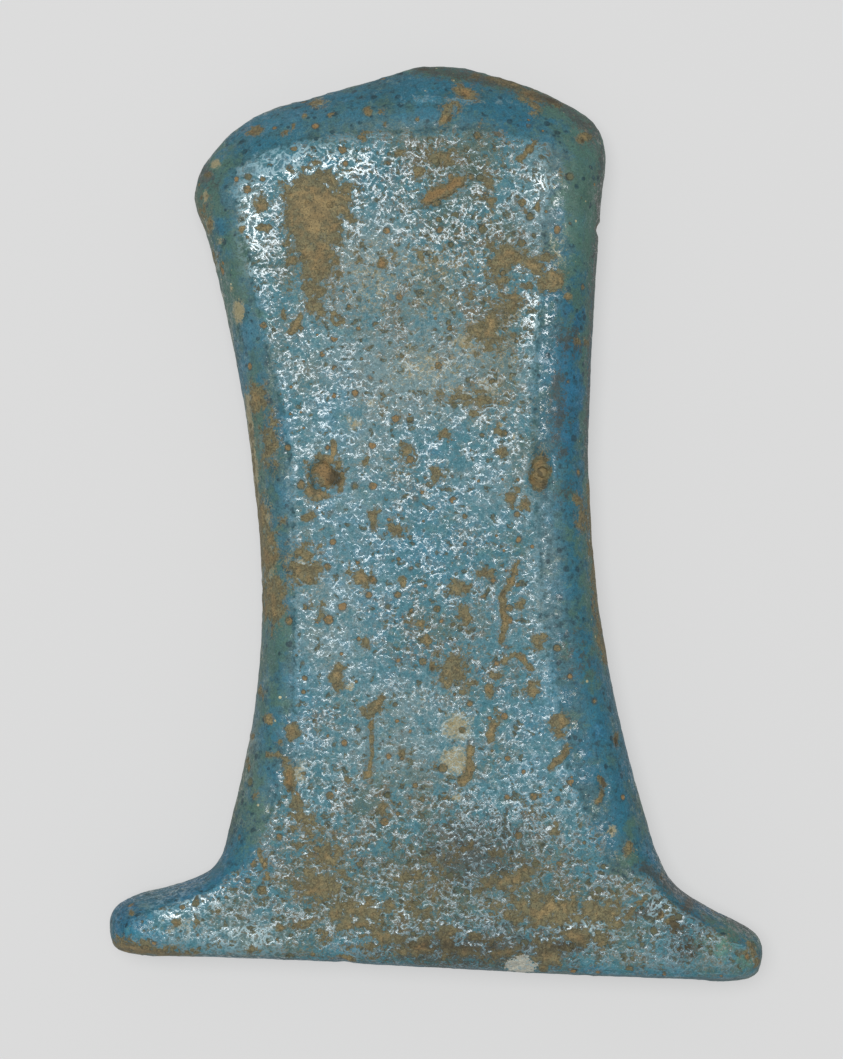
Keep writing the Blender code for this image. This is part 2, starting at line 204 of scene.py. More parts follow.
        (9.6, -17.8, 0.43, 0.65, 0.5), (8, 20.9, 1.5, 1.2, 0.5), (-4.4, 5.3, 0.98, 0.76, 0.7),
        (-3.5, 6.4, 0.43, 0.43, 0.8), (-12.3, 16, 0.54, 0.76, 0.7), (-11.7, 15.1, 0.43, 0.43, 0.6),
        (-4.6, -8.8, 0.49, 0.43, 0.9), (3.8, 23.9, 0.76, 0.43, 0.8, -20), (2.1, 24.3, 0.54, 0.43, 0.7),
        (5.1, 23.2, 0.65, 0.33, 0.6, -10), (17.1, -23.1, 0.76, 1.4, 0.6, 20),
        (-0.9, -22.3, 0.76, 0.43, 0.9), (5.7, -23.9, 0.54, 0.43, 0.7), (3.5, 5.3, 0.43, 0.43, 0.7),
        (4.2, 4.6, 0.33, 0.33, 0.7), (3.5, 6.3, 0.43, 0.43, 0.5), (-9.3, 4.5, 0.54, 0.54, 0.6),
    ),
    RUST: (
        # orange-brown dirt
        (0.2, 17.7, 2.2, 0.87, 1, 28), (-5.9, 2.4, 1.8, 2, 0.8), (-9.8, 21.2, 0.82, 0.54),
        (-8.1, 21, 0.54, 0.49), (1.6, 23.2, 1.2, 1.1, 0.7), (5.2, 23.2, 1.4, 0.87, 0.7, -10),
        (5.5, 2.8, 0.87, 1.6, 0.4, -8), (-7.9, -13.9, 0.76, 1.6, 0.6, 10),
        (-0.9, -22.6, 1.4, 0.76, 0.6, 15), (-2.9, 13.9, 0.49, 0.54), (-12.3, 16, 0.43, 0.65, 0.8),
        (-7.1, -2.3, 1.6, 1.7, 0.5), (-6.1, 10.9, 0.76, 0.76, 0.6), (-5.3, 10.9, 0.76, 0.76, 0.6),
    ),
    SMOOTH: (
        # glaze without a net of glints inside the edges
        (8.4, -10.7, 1.6, 4.3, 0.9), (8.3, -13.2, 1.6, 2.7, 1.1), (-7.9, -11.5, 0.87, 3.3, 0.9),
    ),
    BARE: (
        # the chip at the foot
        (4.5, -23.8, 1.4, 1.1, 1.05, 10),
    ),
    OLIVE: (
        # green glaze along the rims
        (8.5, 16.7, 3, 9.2, 1.1), (8, 14.6, 1.6, 3.8, 0.7), (6.7, 22.7, 6, 1.3, 1, -25),
        (8.3, 20.8, 2.4, 3.3, 1.1), (1.8, 24.4, 6, 0.87, 0.7, -5), (9, 10.5, 0.76, 6.5, 0.7),
        (-12.4, 16.7, 1.4, 7.1, 0.9, -10), (-11.5, 12.1, 1.5, 6, 1, -8), (-10, 6.7, 1.1, 6.5, 0.5, -8),
        (-11.7, 19.7, 1.8, 1.1, 0.4), (-11.8, 18.2, 0.87, 1.1, 0.7), (-12.9, 17.3, 0.87, 4.9),
        (-10.2, 2.3, 1.3, 9.2, 0.9, -3), (-8.9, -5.3, 1.5, 8.7, 0.8), (-10.1, -13.4, 1.4, 6, 0.6, 8),
        (8.5, -2, 2.2, 9.8, 0.6, -3), (11.4, -15.1, 1.1, 8.7, 0.5, -20), (15, -22.2, 2.7, 2.2, 0.9),
        (17, -22.9, 2, 2.2, 0.8), (-1.4, 24.7, 6.5, 0.43, 0.5), (-9.6, -4.2, 0.87, 6.5, 0.6),
    ),
    DEEP: (
        # clean blue glaze
        (7.4, 6.7, 2.8, 12.5, 1.25), (7.5, 11.1, 2.5, 3, 1.3), (7.8, -2, 2.2, 9.8, 0.7, -4),
        (4.3, 21.5, 3.8, 2.7), (-5.8, 22.7, 10.9, 3.3, 0.9, 16), (-9.8, 21.6, 6, 2.2, 0.9, 30),
        (-0.3, 23.3, 8.7, 3.3, 0.8), (3.5, 22.2, 8.7, 3.3, 0.8, -20), (8.4, -6.4, 2.7, 10.9, 0.8, -4),
        (8.6, -11.5, 2.7, 6.5, 1, -8), (10, -14, 2.2, 10.9, 0.9, -16), (-8.4, -7.4, 1.4, 10.3, 0.6, 6),
        (-8.9, -11.8, 1.6, 4.3, 0.6), (-16.6, -21, 3, 2.7, 1.5), (-13.1, -19.5, 6.5, 1.6, 1.3, 22),
        (-11.1, -18.2, 2.2, 2.2, 1.1, 40), (14.3, -20.5, 6.5, 1.8, 1.1, -28),
        (16.3, -21.8, 2.4, 2.2, 1.1), (11.6, -18, 2.2, 2.2, 1, -50), (-7.4, -24, 14.1, 0.76, 0.8),
        (11.1, -24.2, 10.9, 0.65, 0.6, -4), (-3, -4.2, 3.3, 2.2, 0.6), (-5.4, 5.6, 2.2, 4.3, 0.55),
        (-5.8, 19.1, 6, 2.2, 0.75), (-0.9, -1.2, 12, 7.1, 0.55), (-5.8, 1.3, 3.3, 3.3, 0.5),
        (-0.3, -6.4, 10.9, 4.9, 0.4), (5.7, -14.5, 4.9, 4.9, 0.5), (-7.4, -9.6, 3.3, 6.5, 0.5),
        (-7.4, 19.7, 4.3, 2.2, 0.6), (6.2, -9.6, 3.8, 6.5, 0.6), (0.2, 4, 4.9, 3.3, 0.4),
        (3.5, -8.5, 5.4, 3.3, 0.4), (6.8, 14.8, 0.87, 4.9, 0.6), (-4.7, -22.7, 2.2, 1.1, 0.6),
        (8.9, -2, 1.1, 6.5, 0.7), (-8.2, 5.1, 1.3, 3.3, 0.7), (-7.9, 1.3, 1.1, 3.3, 0.5),
        (-11.5, 6.7, 1.1, 3.3, 0.4), (-10.1, 9.1, 1.3, 4.3, 0.9, -10), (-11.6, 15.4, 1.1, 4.3, 0.6, -12),
        (-11.6, 18.6, 1.1, 3.3, 0.4),
    ),
    HAZE: (
        # smooth pale haze
        (-3.5, 14, 3.8, 3.3), (6.1, 19.1, 2.7, 3.3, 0.9), (-0.6, 8.2, 8.2, 3.8, 1.1),
        (-10.1, 8.8, 0.87, 4.3, 0.9, -6), (-10.6, 11.7, 0.76, 3.3, 0.7, -8),
        (-11.1, 12.1, 1.6, 10.9, 0.35, -6), (-10, 2.9, 1.6, 8.7, 0.5, -3), (-9.1, -4.2, 1.4, 8.7, 0.6),
        (-10.1, -11.8, 1.4, 6.5, 0.8, 8), (-5.8, -6.9, 3.3, 3.3, 0.5), (-4.9, -3.6, 3.8, 2.2, 0.7),
        (-1.4, -9.6, 3.3, 2.2, 0.5), (5.7, 16.2, 3.3, 3.3, 0.9), (-4.1, 4.5, 4.3, 3.3, 0.5),
        (2.4, -5.3, 3.3, 3.3, 0.3), (10, -20.8, 2.2, 1.6, 0.3), (-10.1, -22.2, 3.3, 1.6, 0.6),
        (8, 20.8, 2.2, 1.6, 0.4), (-7.4, -11.5, 2.7, 2.7, 0.4), (-11.7, 17.6, 1.6, 3.3, 0.4),
        (5.7, -14.5, 3.8, 3.3, 0.3), (-2, -12.6, 4.9, 3.3, 0.6), (-4.6, 1, 4.3, 3.8, 0.45),
        (2.7, 1.8, 4.3, 2.7, 0.4), (-1.7, 12.1, 6, 3.8, 0.6), (-5.2, 11.6, 2.7, 2.2, 0.5),
        (-13.6, -20.2, 3.3, 1.6, 0.6), (-3.6, 21.5, 9.2, 1.4, 0.6), (6, -2, 1.2, 9.2, 0.7),
        (-7.9, 1.3, 0.87, 3.3, 0.6), (-7.9, -7.7, 0.87, 3.8, 0.6), (-10.2, -22.1, 2.7, 2.2, 0.6),
        (-10, 8.3, 0.76, 3.3, 0.5, -12),
    ),
    WASH: (
        # brown-grey dirt in most of the glaze's pits
        (1, 19.2, 10.9, 4.9, 0.9), (2.9, 15.4, 6.5, 4.9, 0.8), (-0.3, 12.1, 10.9, 8.7, 0.6),
        (3.8, 11, 3.3, 6, 0.9), (2.4, 7, 4.9, 2.2, 0.8), (-6.3, 13.2, 6.5, 6.5, 0.5),
        (0.2, -19.7, 20.7, 8.7), (1.8, -22.9, 14.1, 2.2), (-5.8, -18.3, 6.5, 7.6, 0.9),
        (9.5, -20.5, 7.1, 4.9), (12.4, -20.8, 4.3, 3.3, 0.8), (5.7, -20.5, 8.7, 6),
        (-2, -14.5, 13, 4.9, 0.6), (2.4, -17.8, 6.5, 3.8), (1, -6.4, 6.5, 6.5, 0.6),
        (14.3, -21.8, 4.3, 2.7, 0.8), (0.2, 2.3, 13, 6.5, 0.3), (-5.8, -10.7, 4.9, 4.9, 0.4),
    ),
    GREY: (
        # grey film, above all at the foot of the face
        (2.1, -17.7, 4.9, 3.5, 1.2), (0.2, -18.9, 3.8, 2.7, 0.5), (3.5, -17.2, 2.7, 2.2, 0.6),
        (-0.3, -18.3, 8.7, 3.8, 0.3), (2.4, -22.7, 9.2, 2.4, 1.3), (8.8, 21.5, 1.2, 2.4, 1, -30),
        (-12.7, 19.1, 1.1, 2.4, 1, 30), (15.7, -22.3, 1.6, 1.3, 0.6), (6.7, -22.6, 4.3, 1.8, 0.9),
        (-0.6, -22.8, 3.8, 1.8, 0.8), (7.1, 9.8, 1.4, 1.6), (6.5, 7.1, 0.87, 2, 1.1),
        (6.6, 5.7, 1.2, 1.3), (6.4, 4.6, 0.65, 0.65, 0.9), (6.8, 3.9, 0.98, 1.1, 0.8),
        (7.7, 9.7, 1.2, 0.87, 0.8), (7.1, 1.5, 1.4, 1.6, 0.6), (7.6, -7.2, 2.2, 2.7, 0.6),
        (11.4, -20.6, 2.7, 1.3, 0.8, 25), (13.2, -22.1, 2, 3.8, 0.9, -30), (13.8, -21.3, 2.2, 1.4, 0.6),
    ),
    GLOSS: (
        # where the glaze is smooth enough to glare, and where the painted glints are brightest
        (-6.7, 19.1, 9, 2.7, 1.5), (-5.9, 19.5, 5.4, 1.8, 1.6), (-10.1, 15.4, 3.3, 10.9, 1.25, -4),
        (-4.9, 17.8, 4.9, 6.5), (1.8, 16.7, 10.3, 8.2, 0.85), (5.5, 10.9, 2.2, 4.9, 1.3),
        (5.7, 6.7, 2.2, 4.3, 0.5), (-6.8, 6.7, 6, 8.7, 0.6), (-7.1, 2.9, 3.3, 8.2, 0.65),
        (2.4, 5.1, 8.2, 6.5, 0.6), (5.9, -2, 3.3, 16.3, 0.5), (-6.3, -6.4, 4.9, 12, 0.5),
        (-0.3, -3.1, 14.1, 13, 0.5), (0.2, -10.7, 14.1, 8.7, 0.5), (7.6, -14.5, 2.7, 6.5, 0.4, -10),
        (-6.3, -14.5, 6, 8.2, 0.8), (4.6, -15.1, 9.8, 6, 0.9), (-2, -16.1, 7.6, 4.3, 0.6),
        (-10.1, -22.1, 7.1, 2.7, 1.2), (-13.8, -20.4, 6, 2.4, 1.4), (-14.5, -21.8, 4.3, 1.6, 0.9),
        (11.6, -20.5, 6, 4.3, 1.1, -20), (-2.5, -20.8, 15.2, 4.3, 1.05), (8.4, -21.6, 9.8, 3.3, 1.05),
        (15.2, -22.1, 3.8, 1.8), (5.9, 18.1, 4.9, 4.9, 1.1), (-0.3, 2.3, 16.3, 15.2, 0.5),
        (-0.3, -15.1, 18.5, 10.9, 0.4),
    ),
    HOLLOW: (
        # hollows worn or broken into the face
        (-5.4, 2.4, 0.65, 0.65, 1.3), (-6.4, 2, 0.33, 0.38, 0.5), (-5.2, 3.1, 0.27, 0.22, 0.3),
        (5.5, 2.7, 0.65, 1.4, 1, -8), (0.7, 21.8, 0.54, 0.76, 0.5, -30), (1.6, 23.1, 0.65, 0.43, 0.5),
        (9, 15.9, 0.27, 0.43, 0.8), (9.9, -11.7, 0.27, 0.54, 0.9), (8.9, -13.9, 0.33, 0.76, 0.9, 15),
        (-5.1, -23.6, 0.65, 0.38, 0.8, -25), (12, -20.9, 0.27, 0.27, 0.7), (12.5, -21.3, 0.27, 0.27, 0.7),
        (13.4, -22.7, 0.27, 0.27, 0.8), (12.8, -21.6, 0.33, 0.43, 0.5), (12.3, -18.9, 0.22, 0.27, 0.8),
        (-7.9, -14, 0.43, 0.76, 0.7, 10), (-0.2, -7.8, 0.33, 0.49, 0.6), (-9.8, 21.2, 0.54, 0.33, 0.4),
        (8, 20.7, 0.49, 0.33, 0.5), (5.2, 23.2, 0.87, 0.43, 0.4, -10), (-1.8, -3.2, 0.33, 0.38, 0.5),
    ),
}

# Long marks: width, strength, then the points they pass through
STROKES = {
    DIRT: (
        (0.38, 1, (-7.2, 11), (-7.5, 10.5), (-7.7, 10.2)),
        (0.33, 0.45, (2.5, 21.7), (2.4, 20.8), (2.6, 19.7), (2.7, 19.1), (2.4, 17.6), (2.6, 16.2),
         (2.7, 14.6), (2.6, 13.2)),
        (0.33, 1, (5.3, 20.4), (4.9, 19.9), (4.5, 19.4)),
        (0.71, 1.1, (-0.3, 17.4), (0.2, 17.7), (0.8, 18), (1.2, 18.3)),
        (0.27, 0.9, (-0.8, 17.2), (-0.3, 17.4)),
        (0.38, 0.9, (4.3, -2.2), (4, -3.2), (3.5, -3.9), (3.7, -5.2), (3.5, -6.4)),
        (0.33, 0.9, (3.6, -7.4), (4.2, -7), (4.7, -7.3), (5, -7.8)),
        (0.49, 0.8, (-3.5, -10.3), (-2.9, -9.3)),
        (0.19, 0.9, (-3.5, -10.7), (-3.4, -12.1), (-3.6, -13.4)),
        (0.38, 1, (1.8, -12.1), (1.8, -13), (1.7, -13.5), (1.4, -13.8)),
        (0.43, 0.9, (3.3, -10.2), (3, -10.8), (2.9, -11.6)),
        (0.38, 0.9, (7, -12), (6.6, -12.6), (6.1, -13.1)),
        (0.27, 1, (-9.5, -17.6), (-9.2, -18.2), (-9, -19)),
        (0.38, 0.7, (-7.6, -21.5), (-6.6, -21.3)),
        (0.43, 0.8, (-5.2, -21.6), (-3.7, -21.4), (-3.2, -21.9), (-2.6, -22.4)),
        (0.49, 0.7, (-7.6, -14.5), (-7.3, -15.2), (-7, -16)),
        (0.27, 0.8, (-9.1, -12.4), (-8.5, -12.4), (-7.8, -12.7)),
        (0.27, 0.8, (9, -14.3), (8.6, -15)),
        (0.54, 0.7, (8.9, -22.4), (6.7, -22.7), (5.1, -22.4)),
        (0.27, 0.8, (9.6, -21.4), (10.4, -20.8), (11.1, -20.1)),
        (0.33, 0.7, (16.8, -22.4), (17.2, -23), (17.4, -23.6)),
        (0.38, 0.8, (2.9, 24.2), (4.1, 23.9), (5.7, 23.2), (6.8, 22.7)),
        (0.33, 0.55, (-10.1, 5.3), (-9.9, 2.9), (-9.8, 0.7), (-9.5, -2)),
        (0.49, 0.75, (8.5, 2.1), (8.5, 0.2), (8.7, -2.6), (8.9, -5.3), (9.3, -7.4)),
    ),
    TAN: (
        (0.38, 0.9, (-10.3, 6.7), (-10.1, 4.5), (-9.9, 2.9), (-9.8, 0.7), (-9.5, -2)),
    ),
    OLIVE: (
        (0.71, 0.85, (-0.9, 24.8), (1.8, 24.3), (4.6, 23.6), (7, 22.6), (8.5, 20.8)),
        (0.49, 0.8, (8.3, 12.1), (8.2, 8.9), (8.2, 5.1), (8.3, 1.3)),
    ),
    GREY: (
        (0.65, 1.1, (11.1, -18.4), (13.3, -19.8), (15.4, -20.7), (17, -21.8)),
        (0.76, 1, (-0.9, 24.7), (1.8, 24.3), (4.6, 23.6), (7, 22.6), (8.6, 20.9)),
        (0.43, 0.9, (9.1, 20.3), (9, 17.6), (8.7, 14.3), (8.5, 10.5), (8.4, 6.7), (8.3, 2.9)),
        (0.49, 0.9, (-2, -23.2), (0.8, -23.3), (3.5, -23.5)),
    ),
    SMOOTH: (
        (1.03, 1.4, (-11.6, 18.9), (-11.5, 17.6), (-11, 14.8), (-10.4, 12.1), (-9.8, 9.4),
         (-9.1, 6.7), (-8.6, 4), (-8.4, 1.3), (-8.3, -4.2), (-8.3, -9.6), (-8.5, -12.3),
         (-9.5, -15.1), (-10.4, -17.8)),
        (1.58, 1.4, (7.2, 19.5), (7.1, 17.6), (6.9, 14.8), (6.8, 12.1), (6.5, 9.4), (6.4, 6.7),
         (6.4, 4), (6.5, 1.3), (6.6, -1.5), (6.8, -4.2), (7.2, -6.9), (7.6, -9.6), (8, -12.3),
         (9.1, -15.1), (10.3, -17.8)),
        (1.03, 1.3, (-10.9, 20), (-9.6, 20.7), (-7.4, 21.2), (-4.7, 21.5), (-0.9, 21.7), (2.4, 21.7),
         (5.1, 21.4), (7, 20.3)),
    ),
    DARK: (
        (0.11, 0.7, (-0.7, 17), (0.2, 17.3), (1, 17.7), (1.5, 18.1)),
        (0.11, 0.6, (-3.4, -10.8), (-3.4, -12.1), (-3.5, -13.3)),
        (0.14, 0.6, (4.2, -2.3), (3.9, -3.3), (3.4, -4), (3.5, -5.2)),
    ),
    HOLLOW: (
        (0.54, 0.9, (-0.5, 17.2), (0.2, 17.6), (0.8, 17.9), (1.4, 18.3)),
        (0.27, 0.8, (-3.5, -10.8), (-3.4, -12.1), (-3.6, -13.3)),
        (0.22, 0.6, (4.3, -2.2), (4, -3.2), (3.5, -3.9), (3.7, -5.2), (3.5, -6.4)),
        (0.22, 0.6, (-9.5, -17.6), (-9.2, -18.2), (-9, -19)),
        (0.22, 0.5, (5.3, 20.4), (4.9, 19.9), (4.5, 19.4)),
        (0.22, 0.5, (1.8, -12.1), (1.8, -13), (1.7, -13.5)),
    ),
}

# Ovals inside marks of dirt where the glaze shows, so that the marks are rings
RINGS = (
    (-7.2, -2.1, 0.49, 0.54), (-6.1, 10.9, 0.27, 0.27), (-5.3, 10.9, 0.27, 0.27),
)

# Making the skin
SAME_PLACE = 1e-6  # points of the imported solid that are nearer, in metres, are one
IN_AND_OUT = (0.6, -0.62)  # how far a round of evening moves a point to its neighbours and back
ROUNDS = 12  # of evening, before the facets of the face are split
FINE_ROUNDS = 4  # and after that
BEVEL_UPRIGHT = 0.35  # how upright a facet's normal is at least where it is split

# Where the face, its rim and the marks are, in millimetres
FACE_UPRIGHT = 0.7  # how upright the face's normals are at least
FACE_FADE = 0.26  # and how much more where they are fully the face's
FACE_LOWEST = 3
FOOT_START = -22.4  # below this the face leans
FOOT_LEAN = 0.45
RIM_TOP = 5.0
RIM_FADE = 1.8
MARKS_LOWEST = 1.5

# The patterns
BEND_LENGTH = 1.5  # of the winding ridges, in spacings of the pits
BEND = 0.9  # how far they reach to the side, in the same
FINE_NET = 0.6  # spacing of the fine net of ridges, as a share of the coarse one's
PINHOLE_RADIUS = 0.1  # of the smallest, in spacings of the pinholes
PINHOLE_SPREAD = 0.23  # what the widest adds to it
SEED_STEP = {"X": 31.7, "Y": 17.3}  # how far each seed moves the patterns, in millimetres
STEP = 0.05  # over which the slope of a pattern is measured, in millimetres
GLAZE_IOR = 1.56


def millimetres(name, value, description, **limits):
    """A length that a user may change, given in millimetres."""
    return bpy.props.FloatProperty(
        name=name, description=description, default=value * MM, precision=5,
        subtype="DISTANCE", **limits,
    )


def swatch(name, rgb, description):
    """A colour that a user may change."""
    return bpy.props.FloatVectorProperty(
        name=name, description=description, default=rgb, size=3, min=0, max=1, subtype="COLOR",
    )


class AmuletSizes(bpy.types.PropertyGroup):
    """Sizes of the glazed skin."""

    grain: millimetres("Grain", 0.27, "Side of the skin's facets on the back and sides", min=0.1 * MM)
    pit_spacing: millimetres("Pit spacing", 0.5, "From one pit of the glaze to the next")
    pit_depth: millimetres("Pit depth", 0.02, "From the ridges between the pits to their bottoms")
    pinhole_spacing: millimetres("Pinhole spacing", 0.72, "Between the round pinholes that hold dirt")
    pinhole_depth: millimetres("Pinhole depth", 0.05, "How far the dirt lies under the glaze")
    wave_depth: millimetres("Wave depth", 0.07, "How uneven the hand-moulded surface is")
    rim_wave_depth: millimetres("Rim wave depth", 0.085, "How uneven the bevels and rims are close up")
    crust_height: millimetres("Crust height", 0.03, "How far crusts of dirt stand up from the glaze")
    hollow_depth: millimetres("Hollow depth", 0.3, "Of the deepest worn hollows of the face")
    seed: bpy.props.IntProperty(
        name="Seed", description="Which of the many like patterns of pits and stains is used",
        default=3,
    )


class GlazeColours(bpy.types.PropertyGroup):
    """Colours of the glaze and of what lies on it."""

    glaze: swatch("Glaze", (0.046, 0.185, 0.23), "The blue of the glaze at its usual thickness")
    deep: swatch("Deep glaze", (0.01, 0.092, 0.128), "The blue where the glaze is thick")
    blue: swatch("Clean glaze", (0.01, 0.137, 0.21), "The blue where the glaze is unstained")
    sapphire: swatch("Pooled glaze", (0.01, 0.118, 0.225), "The blue where clean glaze lies thickest")
    murk: swatch("Murky glaze", (0.06, 0.098, 0.062), "Grey-green of the stained glaze")
    pale: swatch("Weathered glaze", (0.205, 0.28, 0.275), "Pale grey-blue of the weathered glaze")
    mist: swatch("Thin glaze", (0.12, 0.265, 0.33), "Pale blue where the glaze is thin and clean")
    # painted highlight: the blue-white painted onto the smoothest ridges as glints
    painted_glint_colour: swatch("Gleam", (0.39, 0.59, 0.65), "Blue-white of ridges where the glaze is smoothest")
    olive: swatch("Green glaze", (0.068, 0.165, 0.12), "Green of the glaze along the rims")
    silt: swatch("Silt", (0.095, 0.1, 0.055), "Grey-brown of the fine dirt in the glaze's pits")
    soil: swatch("Soil stain", (0.065, 0.1, 0.07), "Grey-brown stain over much of the face")
    film: swatch("Film", (0.058, 0.078, 0.07), "Grey film over the foot of the face")
    dirt: swatch("Dirt", (0.25, 0.187, 0.083), "Khaki brown of the crusts of dirt")
    rust: swatch("Rusty dirt", (0.25, 0.16, 0.062), "Orange brown of some of the dirt")
    dark: swatch("Dark dirt", (0.055, 0.045, 0.022), "Dirt at the bottoms of the pits")
    tan: swatch("Tan", (0.33, 0.285, 0.15), "Yellow-grey haze on the glaze")
    body: swatch("Body", (0.48, 0.48, 0.4), "Pale body where the glaze is lost")


class Wire:
    """An output of a node, so that maths on values reads as Python."""

    def __init__(self, board, socket):
        self.board = board
        self.socket = socket

    def __add__(self, other):
        return self.board.maths("ADD", self, other)

    __radd__ = __add__

    def __sub__(self, other):
        return self.board.maths("SUBTRACT", self, other)

    def __rsub__(self, other):
        return self.board.maths("SUBTRACT", other, self)

    def __mul__(self, other):
        return self.board.maths("MULTIPLY", self, other)

    __rmul__ = __mul__

    def __truediv__(self, other):
        return self.board.maths("DIVIDE", self, other)

    def __rtruediv__(self, other):
        return self.board.maths("DIVIDE", other, self)

    def __pow__(self, other):
        return self.board.maths("POWER", self, other)

    def __rpow__(self, other):
        return self.board.maths("POWER", other, self)

    def __abs__(self):
        return self.board.maths("ABSOLUTE", self, 0)


class Board:
    """The nodes of one tree, a material's or a geometry's."""

    def __init__(self, tree):
        self.tree = tree

    def node(self, kind, settings, inputs, output=0):
        """Adds a node, sets it, then fills its sockets. Returns the wire of one output."""
        node = self.tree.nodes.new(kind)
        for name, value in settings.items():
            setattr(node, name, value)
        for name, value in inputs.items():
            socket = self.socket(node.inputs, name)
            if isinstance(value, Wire):
                self.tree.links.new(value.socket, socket)
            else:
                socket.default_value = value
        return Wire(self, self.socket(node.outputs, output))

    @staticmethod
    def socket(sockets, name):
        if isinstance(name, int):
            return sockets[name]
        return next(socket for socket in sockets if socket.name == name and socket.enabled)

    def maths(self, operation, first, second):
        return self.node("ShaderNodeMath", {"operation": operation}, {0: first, 1: second})

    def larger(self, first, second):
        return self.maths("MAXIMUM", first, second)

    def smaller(self, first, second):
        return self.maths("MINIMUM", first, second)

    def rise(self, value, low, high):
        """Eases from 0 at low to 1 at high."""
        return self.node(
            "ShaderNodeMapRange", {"interpolation_type": "SMOOTHSTEP"},
            {"Value": value, "From Min": low, "From Max": high}, "Result",
        )

    def scaled(self, vector, factor):
        """A vector, or a colour made lighter or darker."""
        return self.node("ShaderNodeVectorMath", {"operation": "SCALE"}, {0: vector, "Scale": factor})

    def moved(self, vector, step):
        return self.node("ShaderNodeVectorMath", {"operation": "ADD"}, {0: vector, 1: step})

    def noise(self, place, size, detail=2.0, rough=0.5, output="Fac"):
        """Cloudy noise whose largest lumps are about this size, in millimetres."""
        inputs = {"Vector": place, "Scale": 1 / size, "Detail": detail, "Roughness": rough}
        return self.node("ShaderNodeTexNoise", {}, inputs, output)

    def bent(self, place, size, amount):
        """The place pushed about by noise, so that what is drawn there wavers."""
        push = self.moved(self.noise(place, size, 1.0, output="Color"), (-0.5, -0.5, -0.5))
        return self.moved(place, self.scaled(push, amount))

    def parts(self, vector):
        """The three components of a vector or colour."""
        node = self.tree.nodes.new("ShaderNodeSeparateXYZ")
        self.tree.links.new(vector.socket, node.inputs[0])
        return [Wire(self, output) for output in node.outputs]

    def mixed(self, share, first, second):
        """A colour between two others."""
        return self.node(
            "ShaderNodeMix", {"data_type": "RGBA"}, {"Factor": share, "A": first, "B": second}, "Result"
        )


def winding(board, place, spacing):
    """Crosses 0 along the thin ridges that wind between the pits of the glaze."""
    return board.noise(board.bent(place, spacing * BEND_LENGTH, spacing * BEND), spacing, 3.0) - 0.5


def pinholes(board, place, spacing, share):
    """1 in each round pinhole, 1 around each too, and a number of each one's own.

    This share of the cells has one, and they differ in size.
    """
    bent = board.bent(place, 0.25, 0.1)
    inputs = {"Vector": bent, "Scale": 1 / spacing, "Randomness": 0.9}
    distance = board.node("ShaderNodeTexVoronoi", {"feature": "F1"}, inputs, "Distance")
    chance = board.node("ShaderNodeTexVoronoi", {"feature": "F1"}, inputs, "Color")
    pick, width, own = board.parts(chance)
    radius = PINHOLE_RADIUS + PINHOLE_SPREAD * width * width
    there = board.maths("LESS_THAN", pick, share)
    inside = there * board.rise(distance / radius, 1.1, 0.85)
    around = there * board.rise(distance / radius, 1.5, 1.0)
    return inside, around, own


def holed(board, place, face, wash):
    """The share of places for a pinhole that have one."""
    crowd = board.rise(board.noise(place, 1.6), 0.4, 0.6)
    return 0.1 + face * (0.15 + 0.4 * crowd + 0.35 * wash)


def crusted(board, place, share):
    """How thick dirt lies: a crust starts at 0.5, and has lobes where its share runs out."""
    lobes = board.noise(board.bent(place, 0.5, 0.35), 0.6, 2.0, 0.6)
    worms = abs(winding(board, place, 0.9))
    fine = board.noise(place, 0.12, 2.0, 0.7)
    uneven = (lobes - 0.5) * 1.5 + board.rise(worms, 0.1, 0.0) * 0.15 + (fine - 0.5) * 0.35 - 0.04
    return share + uneven * board.rise(share, 0.0, 0.2)


def solid_copy():
    """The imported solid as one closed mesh, in an object of its own."""
    bm = bmesh.new()
    bm.from_mesh(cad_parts[NODE].data)
    bmesh.ops.remove_doubles(bm, verts=bm.verts, dist=SAME_PLACE)
    mesh = bpy.data.meshes.new("skin")
    bm.to_mesh(mesh)
    bm.free()
    skin = bpy.data.objects.new("glazed_body", mesh)
    bpy.context.scene.collection.objects.link(skin)
    return skin


def settled(obj):
    """Turns what the object's modifiers make of it into its own plain mesh."""
    graph = bpy.context.evaluated_depsgraph_get()
    mesh = bpy.data.meshes.new_from_object(obj.evaluated_get(graph))
    obj.modifiers.clear()
    obj.data = mesh


def rows(items, name, width, kind=float):
    """Numbers of a mesh's items, one row for each item."""
    numbers = np.empty(len(items) * width, kind)
    items.foreach_get(name, numbers)
    return numbers.reshape(-1, width)


def evened(mesh, rounds):
    """Evens out the mesh's points without shrinking its form."""
    places = rows(mesh.vertices, "co", 3)
    edges = rows(mesh.edges, "vertices", 2, int)
    first, second = edges.T
    count = np.bincount(edges.ravel(), minlength=len(places))[:, None]
    for share in IN_AND_OUT * rounds:
        total = np.empty_like(places)
        for axis in range(3):
            total[:, axis] = np.bincount(first, places[second, axis], len(places))
            total[:, axis] += np.bincount(second, places[first, axis], len(places))
        places += share * (total / count - places)
    places = np.clip(places, np.array(CAD_BOX[0]), np.array(CAD_BOX[1]))
    mesh.vertices.foreach_set("co", places.ravel())
    mesh.update()


def finer_face(mesh):
    """Splits the facets of the face and its bevels in four."""
    bm = bmesh.new()
    bm.from_mesh(mesh)
    middle = (CAD_BOX[0].z + CAD_BOX[1].z) / 2
    shown = {
        edge for face in bm.faces
        if face.normal.z > BEVEL_UPRIGHT and face.calc_center_median().z > middle
        for edge in face.edges
    }
    bmesh.ops.subdivide_edges(bm, edges=list(shown), cuts=1, use_grid_fill=True)
    bm.to_mesh(mesh)
    bm.free()


def spot_share(x, y, mark_x, mark_y, width, length, strength=1.0, turn=0.0):
    """1 in the middle of an oval mark, half at its outline, 0 at twice its size."""
    angle = math.radians(turn)
    along = (x - mark_x) * math.cos(angle) + (y - mark_y) * math.sin(angle)
    across = (y - mark_y) * math.cos(angle) - (x - mark_x) * math.sin(angle)
    far = np.hypot(along / (width / 2), across / (length / 2))
    return np.clip(1 - far / 2, 0, 1) * strength


